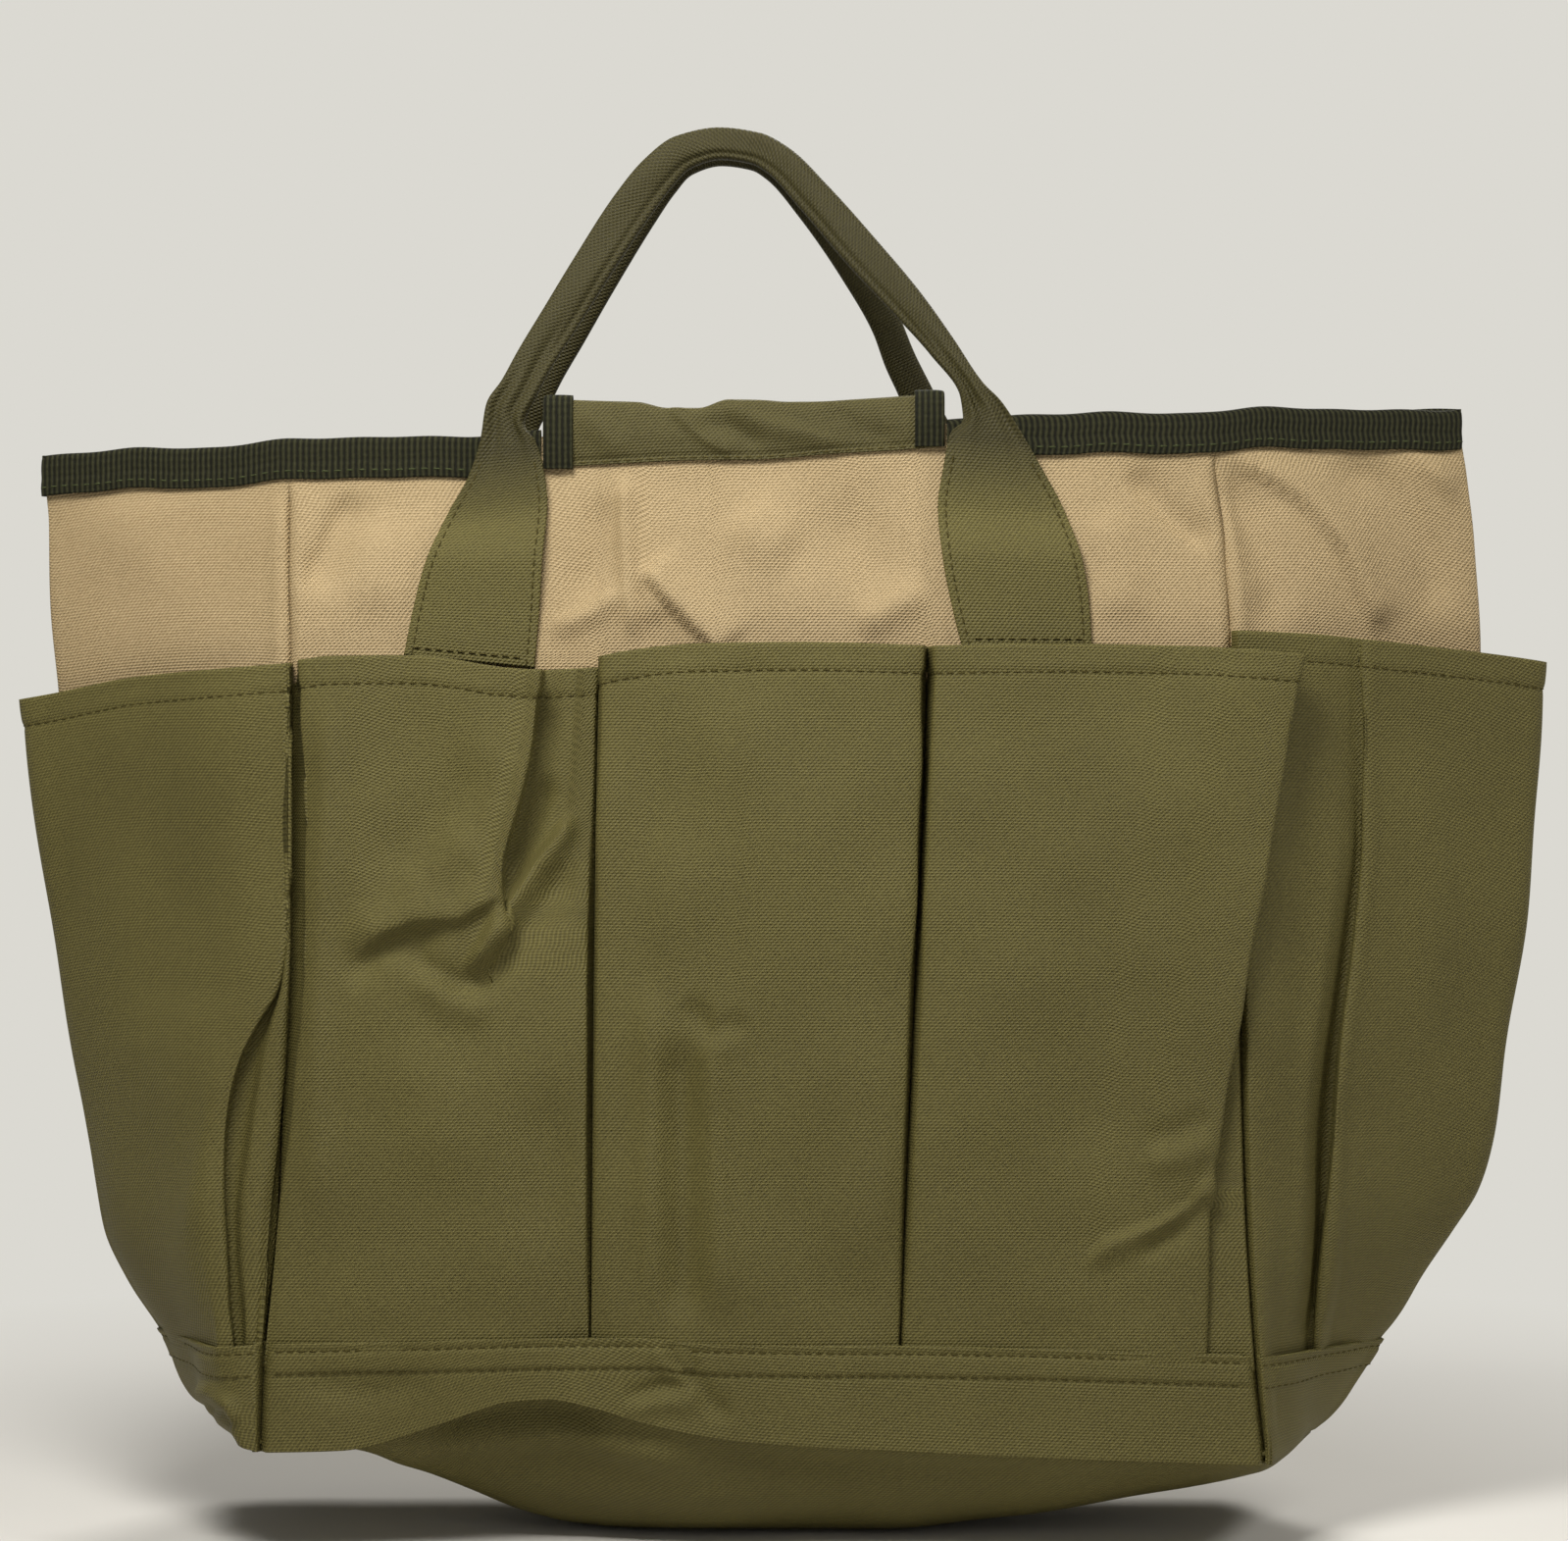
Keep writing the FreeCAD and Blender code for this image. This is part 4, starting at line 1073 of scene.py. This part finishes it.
RIM_TAPE_THICK = 1.1
RIM_TAPE_HEIGHT = 10.5
# Where the rim's straight front runs, and where its tapes stop behind the flap's side edges
RIM_LEFT = -143.5
RIM_RIGHT = 124.9
LEFT_TAPE_STOP = -70.2
RIGHT_TAPE_STOP = 47.6
# Where the tapes meet on the back, as places on the loop of rim_line
BACK_TAPE_RIGHT = 2.35
BACK_TAPE_LEFT = 2.85


def rim_line(start, end, steps):
    """Line along the rim between two places on the loop: 0 front left corner, 1 front right corner,
    1.5 right fold, 2 back right corner, 3 back left corner, 3.5 left fold, 4 front left corner."""
    roundness = 0.08
    marks = []
    for place in np.linspace(start, end, steps):
        turn = place % 4
        z = RIM_HEIGHT
        for _ in range(2):
            left, right, depth = corner_left(z), corner_right(z), half_depth(z)
            if turn <= 1:
                point = (left + (right - left) * turn, -depth)
            elif turn <= 2:
                share = (turn - 1) * 2 - 1
                point = (rounded_fold(share, right, fold_right(z), roundness), depth * share)
            elif turn <= 3:
                point = (right + (left - right) * (turn - 2), depth)
            else:
                share = 1 - (turn - 3) * 2
                point = (rounded_fold(share, left, fold_left(z), roundness), depth * share)
            z = rim_at(point[0])
        marks.append((*point, z))
    return np.array(marks)


def tape_over(name, line, nodes, wobble, seams, seed):
    """Tape folded over an edge that follows a line, with soft dips along it."""
    thick = RIM_TAPE_THICK
    height = RIM_TAPE_HEIGHT
    inside = -CLOTH - thick
    ahead = np.gradient(line, axis=0)
    ahead[:, 2] = 0
    ahead /= np.linalg.norm(ahead, axis=1, keepdims=True)
    out = np.stack([ahead[:, 1], -ahead[:, 0], np.zeros(len(line))], -1)
    chance = np.random.default_rng(seed)
    run = run_along(line)
    dips = np.zeros(len(line))
    longest = 70.0
    for length in (longest, 41.0, 23.0):
        dips += np.sin(run * 2 * math.pi / length + chance.uniform(0, 6)) * wobble * length / longest
    profile = [(thick, -height), (thick + 0.15, -height * 0.75), (thick, -height * 0.5),
               (thick + 0.1, -height * 0.25), (thick - 0.1, 0.3), (thick * 0.4, 1.2), (-CLOTH / 2, 1.45),
               (-CLOTH - thick * 0.4, 1.2), (inside + 0.1, 0.3), (inside, -height * 0.5), (inside, -height)]
    fine = fine_line(profile, 46)
    # Inside the sharp folds of the gussets the tape is pinched flat
    pinch = smooth_step(0.5, 6.0, np.abs(line[:, 1]))[:, None, None]
    away = np.minimum(fine[None, :, 0:1], 0) * pinch + np.maximum(fine[None, :, 0:1], 0)
    climb = fine[None, :, 1:2] + dips[:, None, None]
    grid = line[:, None, :] + out[:, None, :] * away + np.array([0, 0, 1.0]) * climb
    sheet = np.swapaxes(grid, 0, 1)
    cloth(name, sheet, "bag", WEBBING, nodes)
    stitch_row = int(np.argmin(np.abs(fine[:20, 1] + height - 2.4)))
    seams.append((sheet[stitch_row], out.copy()))


def make_rim(seams):
    straight = RIM_RIGHT - RIM_LEFT
    left = rim_line(BACK_TAPE_LEFT, 4 + (LEFT_TAPE_STOP - RIM_LEFT) / straight, 420)
    right = rim_line((RIGHT_TAPE_STOP - RIM_LEFT) / straight, BACK_TAPE_RIGHT, 420)
    middle = rim_line(BACK_TAPE_RIGHT, BACK_TAPE_LEFT, 260)
    tape_over("left_rim_tape", left, ["left_rim_binding"], 0.5, seams, 71)
    tape_over("right_rim_tape", right, ["right_rim_binding"], 0.55, seams, 72)
    tape_over("back_rim_tape", middle, ["back_rim_binding"], 0.4, seams, 73)


# Handles: flat sewn tabs, a pucker at the rim and a folded strap

# Tabs: outer and inner edge (x, z, x, z). Legs: middle (x, z) and width
LEFT_TAB = [(-109.2, 255.4, -71.6, 251.6), (-106.4, 270.0, -70.2, 269.0), (-103.3, 282.0, -69.5, 282.0),
            (-96.8, 297.0, -68.2, 300.0), (-91.2, 307.0, -69.4, 310.0), (-87.6, 318.0, -71.6, 317.5)]
LEFT_LEG = [(-80.4, 325.6, 12.4), (-76.6, 333.0, 11.2), (-72.4, 341.4, 11.0), (-65.0, 354.0, 11.4),
            (-56.2, 369.0, 11.8), (-43.4, 389.4, 12.2), (-36.4, 398.6, 11.6), (-29.4, 404.6, 10.6),
            (-18.6, 407.2, 9.6)]
RIGHT_TAB = [(48.4, 319.8, 70.2, 318.0), (46.6, 311.0, 75.0, 309.6), (44.8, 298.6, 81.6, 297.0),
             (46.0, 284.0, 86.6, 282.0), (48.6, 270.0, 88.4, 269.0), (51.6, 257.6, 89.0, 257.4)]
RIGHT_CROWN = [(8.8, 391.2, 10.6), (-1.6, 402.2, 9.8), (-8.2, 405.8, 9.6)]
FRONT_RIGHT_LEG = [(57.6, 326.8, 12.0), (54.8, 332.6, 7.8), (46.4, 345.4, 8.2), (36.6, 358.2, 10.0),
                   (23.0, 374.2, 11.2)] + RIGHT_CROWN
BACK_RIGHT_LEG = [(44.2, 326.8, 12.0), (40.6, 335.6, 10.4), (35.2, 346.6, 9.8), (31.4, 356.0, 9.4),
                  (22.6, 372.4, 11.0)] + RIGHT_CROWN
BACK_RIGHT_SHIFT = -12.5
TAB_THICK = 2.2
GATHER_THICK = 3.6
STRAP_THICK = 5.4
# Half depth of a leg at its foot and at its crown, height of its foot and its rise to the crown
LEG_FOOT_DEPTH = 27.2
LEG_CROWN_DEPTH = 5.6
LEG_FOOT = 320.0
LEG_RISE = 86.0


def tab_depth(z):
    """The tabs stand a little off the wall between their seams, and over the rim tape."""
    return half_depth(z) + 1.3 + 1.8 * bell(z - 284.0, 12.0) + 1.4 * smooth_step(298, 308, z)


def leg_depth(z):
    share = min(max((z - LEG_FOOT) / LEG_RISE, 0.0), 1.0)
    return LEG_FOOT_DEPTH + share * (LEG_CROWN_DEPTH - LEG_FOOT_DEPTH)


def handle_stations(face):
    """Along a handle: both edges (x, z), depth of its middle and thickness."""
    stations = []
    for ax, az, bx, bz in LEFT_TAB:
        stations.append((ax, az, bx, bz, tab_depth((az + bz) / 2), TAB_THICK))
    right_leg = FRONT_RIGHT_LEG if face == "front" else BACK_RIGHT_LEG
    loop = LEFT_LEG + right_leg[::-1]
    for index, (x, z, wide) in enumerate(loop):
        before = loop[max(index - 1, 0)]
        after = loop[min(index + 1, len(loop) - 1)]
        heading = np.array([after[0] - before[0], after[1] - before[1]])
        heading /= np.linalg.norm(heading)
        across = np.array([-heading[1], heading[0]]) * wide / 2
        thick = STRAP_THICK if 0 < index < len(loop) - 1 else GATHER_THICK
        stations.append((x + across[0], z + across[1], x - across[0], z - across[1], leg_depth(z), thick))
    shift = 0.0 if face == "front" else BACK_RIGHT_SHIFT
    for ax, az, bx, bz in RIGHT_TAB:
        stations.append((bx + shift, bz, ax + shift, az, tab_depth((az + bz) / 2), TAB_THICK))
    return np.array(stations)


def signed_power(value, power):
    return np.sign(value) * np.abs(value) ** power


def make_handle(face, seams):
    """One strap: a flat tab, gathered at the rim into a folded loop, and the other tab."""
    stations = handle_stations(face)
    middles = (stations[:, 0:2] + stations[:, 2:4]) / 2
    steps = np.maximum(np.linalg.norm(np.diff(middles, axis=0), axis=1), 0.5)
    run = np.concatenate([[0.0], np.cumsum(steps)])
    place = np.linspace(0, run[-1], 380)
    around = 56
    fine = follow(run, stations, place)
    sign = -1.0 if face == "front" else 1.0
    depth = sign * fine[:, 4]
    a = np.stack([fine[:, 0], depth, fine[:, 1]], -1)
    b = np.stack([fine[:, 2], depth, fine[:, 3]], -1)
    centre = (a + b) / 2
    half = (a - b) / 2
    thick = fine[:, 5:6]
    in_loop = smooth_step(2.6, 5.0, thick)
    gather = bell(centre[:, 2:3] - 325.0, 11.0)
    furrow = bell(centre[:, 2:3] - 338.0, 12.0)
    turn = 2 * math.pi * np.arange(around)[None, :] / around
    across = signed_power(np.cos(turn), 0.55 + 0.3 * in_loop)
    bulge = signed_power(np.sin(turn), 0.32 + 0.4 * in_loop)
    # Puckers and a furrow at the rim, then the strap's lapped edge and its soft waves
    relief = gather * 0.9 * np.sin(across * 8.0 + np.where(centre[:, 0:1] < 0, 0.9, -0.9))
    relief = relief - furrow * 1.6 * bell(across + 0.25, 0.22) * bulge
    relief = relief - in_loop * 0.9 * bell(across + 0.62, 0.13) * bulge
    relief = relief + in_loop * 0.35 * np.sin(place[:, None] / 8.0 + across * 2.6) * bulge
    lift = bulge * thick / 2 + np.where(bulge > 0, relief, 0.0)
    out = np.array([0.0, sign, 0.0])
    rings = centre[:, None, :] + half[:, None, :] * across[..., None] + out * lift[..., None]
    widths = -across * np.linalg.norm(half, axis=1)[:, None]
    places = np.stack([widths, np.repeat((place - place[-1] / 2)[:, None], around, axis=1)], -1)
    if face == "front":
        rings = rings[:, ::-1]
        places = places[:, ::-1]
    nodes = [face + "_handle_loop", face + "_handle_left_tab", face + "_handle_right_tab"]
    piece = add_piece(face + "_handle_strap", rings.reshape(-1, 3), ring_faces(len(rings), around), None,
                      STRAP_SHADE_OLIVE, nodes, places.reshape(-1, 2))
    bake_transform(piece)
    add_tab_seams(sign, fine, seams)


def add_tab_seams(sign, fine, seams):
    """Rows of stitches along both edges of each tab and across its foot."""
    inset = 2.3
    half = len(fine) // 2
    for part in (fine[:half], fine[half:][::-1]):
        flat = part[(part[:, 5] < 2.4) & ((part[:, 1] + part[:, 3]) / 2 < 314)]
        wide = np.hypot(flat[:, 2] - flat[:, 0], flat[:, 3] - flat[:, 1])
        share = (inset / wide)[:, None]
        outer = flat[:, 0:2] * (1 - share) + flat[:, 2:4] * share
        inner = flat[:, 2:4] * (1 - share) + flat[:, 0:2] * share
        surface = sign * (flat[:, 4] + flat[:, 5] / 2 - 0.05)
        lines = [np.stack([edge[:, 0], surface, edge[:, 1]], -1) for edge in (outer, inner)]
        rise = np.array([0.0, 0.0, 2.6])
        lines.append(np.linspace(lines[0][0] + rise, lines[1][0] + rise, 40))
        for line in lines:
            seams.append((line, np.repeat([[0.0, sign, 0.0]], len(line), axis=0)))


# Closing flap

# Heights of the flap's fold and of its sewn foot, by x
flap_top = curve((-70.5, 330.3), (-56.5, 329.6), (-42.2, 329.2), (-28.6, 326.9), (-13.8, 330.1),
                 (4.7, 329.2), (23.2, 330.1), (38.8, 331.2), (48, 331.8))
flap_foot = curve((-70.5, 309.6), (-61.2, 310.4), (-45.0, 311.3), (-28.0, 312.1), (-5.3, 312.4),
                  (11.8, 313.8), (38.8, 315.5), (48, 316.3))
TONGUE_DEPTH = -21.3
FLAP_CREASES = [
    ([(-34, 331), (-30, 325), (-22, 318), (-12, 313)], 0.9, 2.6, 0.2, 0.3),
    ([(-18, 330), (-8, 324), (6, 320), (20, 316)], 1.1, 3.0, 0.2, -0.3),
    ([(-28, 322), (-16, 322), (-4, 316)], -1.0, 3.0, 0.25),
    ([(12, 329), (20, 322), (34, 318)], -0.8, 3.4, 0.25),
    ([(-60, 328), (-52, 320), (-46, 312)], 0.8, 4.0, 0.25),
]


def flap_section(x):
    """Across the flap at a place along it: up the front, over the fold and down inside the mouth."""
    top = flap_top(x)
    foot = flap_foot(x)
    return [
        (x, -25.0, foot),
        (x, -25.5, foot + 4),
        (x, -25.9, (top + foot) / 2),
        (x, -25.6, top - 3),
        (x, -24.9, top - 0.7),
        (x, -23.8, top),
        (x, -22.4, top - 0.5),
        (x, -21.6, top - 2.5),
        (x, TONGUE_DEPTH, top - 8),
        (x, TONGUE_DEPTH, 310.0 + RIM_SLOPE * x),
        (x, TONGUE_DEPTH, 293.6 + RIM_SLOPE * x),
    ]


def bend_with_flap(piece):
    """Bakes the piece's placement into its mesh; it is not bent."""
    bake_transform(piece)


def make_flap(seams):
    keys = np.array([flap_section(x) for x in np.linspace(-68.6, 46.0, 14)])
    # Rows climb the front and go down inside, columns run along the flap
    grid = refine(np.swapaxes(keys, 0, 1), 150, 220)
    front = smooth_step(23.9, 24.9, -grid[..., 1])
    relief = (creases(grid, FLAP_CREASES) + slack(grid, 0.18, 26.0, 81)) * front
    from_foot = grid[..., 2] - flap_foot(grid[0, :, 0])[None, :]
    relief -= np.where(front > 0.5, 0.3 * bell(from_foot - 1.6, 0.8), 0)
    grid = raise_by(grid, relief)
    bend_with_flap(cloth("flap_cloth", grid, None, FLAP_SHADE_OLIVE, ["flap_root", "flap_tongue"]))
    across = np.linspace(0.08, 0.92, 400)
    seams.append(seam_at(grid, across, np.full(400, 0.015)))
    edge_tape("left", -69.6, -60.9)
    edge_tape("right", 46.9, 38.2)
    make_end_tape()


def edge_tape(side, x_free, x_cloth):
    """Tape folded round one side edge of the flap, from its foot over the fold to its free end."""
    rows = 160
    line = np.array(flap_section(x_free))
    run = run_along(line)
    path = follow(run, line, np.linspace(0, run[-1], rows))
    ahead = np.gradient(path, axis=0)
    ahead /= np.linalg.norm(ahead, axis=1, keepdims=True)
    along_flap = np.array([1.0, 0, 0])
    out = np.cross(along_flap[None, :], ahead)
    toward = 1.0 if x_cloth > x_free else -1.0
    width = abs(x_cloth - x_free)
    profile = [(width, 0.85), (width * 0.6, 1.0), (width * 0.25, 0.95), (0.3, 0.6), (0.0, -0.3),
               (0.3, -1.15), (width * 0.25, -1.4), (width * 0.6, -1.4), (width, -1.35)]
    fine = fine_line(profile, 40)
    grid = path[:, None, :] + along_flap * toward * fine[None, :, 0:1] + out[:, None, :] * fine[None, :, 1:2]
    # The outer face has to look to the front
    row = rows // 8
    column = int(np.argmin(grid[row, :, 1]))
    if normals(grid)[row, column, 1] > 0:
        grid = grid[:, ::-1]
    nodes = ["flap_root_" + side + "_binding", "flap_tongue_" + side + "_binding"]
    bend_with_flap(cloth("flap_" + side + "_tape", grid, None, WEBBING, nodes, FOLDED_TAPE))


def make_end_tape():
    """Tape on the tongue's free end, inside the mouth."""
    low = 291.9
    line = np.array([(x, -21.75, low + 1.3 + RIM_SLOPE * x) for x in np.linspace(-68.0, 45.4, 160)])
    profile = [(-1.2, 8.4), (-1.4, 5), (-1.3, 1.5), (-0.8, 0.2), (0, -0.3), (0.8, 0.2), (1.3, 1.5),
               (1.4, 5), (1.2, 8.4)]
    fine = fine_line(profile, 40)
    grid = line[:, None, :] + np.stack([0 * fine[:, 0], fine[:, 0], fine[:, 1]], -1)[None, :, :]
    grid = np.swapaxes(grid, 0, 1)[::-1]
    cloth("flap_end_tape", grid, "flap", WEBBING, ["flap_tongue_end_binding"], FOLDED_TAPE)


def make_strips():
    """Hook strip on the tongue and loop strip inside the back of the mouth."""
    for name, node, body, depth, low, high in (
            ("flap_hook_pile", "flap_hook_strip", "flap", -19.6, 301.5, 317.5),
            ("back_loop_pile", "back_loop_strip", "bag", 20.9, 311.2, 321.0)):
        rows = 30
        x = np.linspace(-41.3, 18.6, 90)[None, :] + np.zeros((rows, 1))
        z = low + np.linspace(0, 1, rows)[:, None] * (high - low) + RIM_SLOPE * x
        grid = np.stack([x, depth + 0 * x, z], -1)
        if body == "flap":
            grid = grid[:, ::-1]
        cloth(name, grid, body, PILE, [node])


# Floor, backdrop, light and camera

def seen_directly(tree):
    """1 for what the camera, a glossy surface or glass sees, and 0 for light that falls on things."""
    path = tree.nodes.new("ShaderNodeLightPath")
    largest = path.outputs["Is Camera Ray"]
    for word in ("Is Glossy Ray", "Is Transmission Ray"):
        node = tree.nodes.new("ShaderNodeMath")
        node.operation = "MAXIMUM"
        tree.links.new(largest, node.inputs[0])
        tree.links.new(path.outputs[word], node.inputs[1])
        largest = node.outputs[0]
    return largest


def make_stage():
    """Round pale floor that keeps the shadow and melts into the backdrop further out."""
    mesh = bpy.data.meshes.new("studio_floor")
    reach = 7.0
    below_bag = -0.0004
    around = 64
    turns = [2 * math.pi * step / around for step in range(around)]
    points = [(reach * math.cos(turn), reach * math.sin(turn), below_bag) for turn in turns]
    mesh.from_pydata(points, [], [tuple(range(around))])
    floor = bpy.data.objects.new("studio_floor", mesh)
    bpy.context.collection.objects.link(floor)
    nodes = Nodes("pale_floor")
    nodes.shader.inputs["Base Color"].default_value = linear(222, 219, 212)
    nodes.shader.inputs["Roughness"].default_value = 0.95
    nodes.shader.inputs["Specular IOR Level"].default_value = 0.1
    distance = nodes.add("ShaderNodeVectorMath", operation="LENGTH")
    nodes.link(nodes.add("ShaderNodeTexCoord").outputs["Object"], distance.inputs[0])
    # It starts to melt 0.21 m from the middle, and is all backdrop at 0.55 m
    far = nodes.clamped(distance.outputs["Value"], 2.9, -0.6)
    glow = nodes.add("ShaderNodeEmission")
    glow.inputs["Color"].default_value = BACKDROP
    melted = nodes.add("ShaderNodeMixShader")
    nodes.link(nodes.math("MULTIPLY", far, seen_directly(nodes.tree)), melted.inputs[0])
    nodes.link(nodes.shader.outputs[0], melted.inputs[1])
    nodes.link(glow.outputs[0], melted.inputs[2])
    nodes.link(melted.outputs[0], nodes.tree.nodes["Material Output"].inputs["Surface"])
    mesh.materials.append(nodes.material)


def add_light(name, place, target, size, power, colour):
    """Square lamp. Places and size are metres, power is watts."""
    lamp = bpy.data.lights.new(name, "AREA")
    lamp.shape = "SQUARE"
    lamp.size = size
    lamp.energy = power
    lamp.color = colour
    holder = bpy.data.objects.new(name, lamp)
    bpy.context.collection.objects.link(holder)
    holder.location = place
    heading = Vector(target) - Vector(place)
    holder.rotation_euler = heading.to_track_quat("-Z", "Y").to_euler()


def make_lights():
    window = (1.0, 0.985, 0.96)
    room = (1.0, 0.97, 0.92)
    add_light("key", (-0.17, -0.42, 0.73), (0.0, 0, 0.25), 0.26, 5.3, window)
    add_light("side", (0.58, -0.28, 0.72), (0.15, 0, 0.28), 0.22, 1.9, window)
    add_light("fill", (0.1, -1.7, 0.7), (0, 0, 0.25), 1.0, 2.2, room)
    add_light("back", (0.3, 1.0, 1.35), (0, 0.1, 0.2), 0.6, 13.0, window)
    world = bpy.data.worlds.new("studio")
    bpy.context.scene.world = world
    world.use_nodes = True
    tree = world.node_tree
    dim_room = (0.09, 0.088, 0.086, 1.0)
    colour = tree.nodes.new("ShaderNodeMix")
    colour.data_type = "RGBA"
    tree.links.new(seen_directly(tree), colour.inputs[0])
    colour.inputs[6].default_value = dim_room
    colour.inputs[7].default_value = BACKDROP
    tree.links.new(colour.outputs[2], tree.nodes["Background"].inputs["Color"])


def make_camera():
    """Looks straight at the front from 1.1 m, where one pixel of a 1599 wide picture is 0.291 mm."""
    distance = 1.1
    sideways = 0.0003
    height = 0.2222
    frame_width = 1599 * 0.291 * MM
    camera = bpy.data.cameras.new("camera")
    camera.sensor_fit = "HORIZONTAL"
    camera.sensor_width = 36.0
    camera.lens = camera.sensor_width * distance / frame_width
    holder = bpy.data.objects.new("camera", camera)
    bpy.context.collection.objects.link(holder)
    holder.location = (sideways, -distance, height)
    holder.rotation_euler = (math.pi / 2, 0, 0)
    bpy.context.scene.camera = holder


make_camera()
make_stage()
make_lights()
make_tan_body()
olive_seams = []
green_seams = []
make_side_pockets(olive_seams)
make_gusset_pockets(olive_seams)
make_bands(olive_seams)
make_base()
make_rim(green_seams)
make_handle("front", olive_seams)
make_handle("back", olive_seams)
make_flap(olive_seams)
make_strips()
stitches("olive_stitches", olive_seams, "bag", THREAD, 3.2, 2.1)
stitches("rim_stitches", green_seams, "bag", GREEN_THREAD, 3.6, 2.0)

bpy.context.scene.view_settings.view_transform = "Standard"
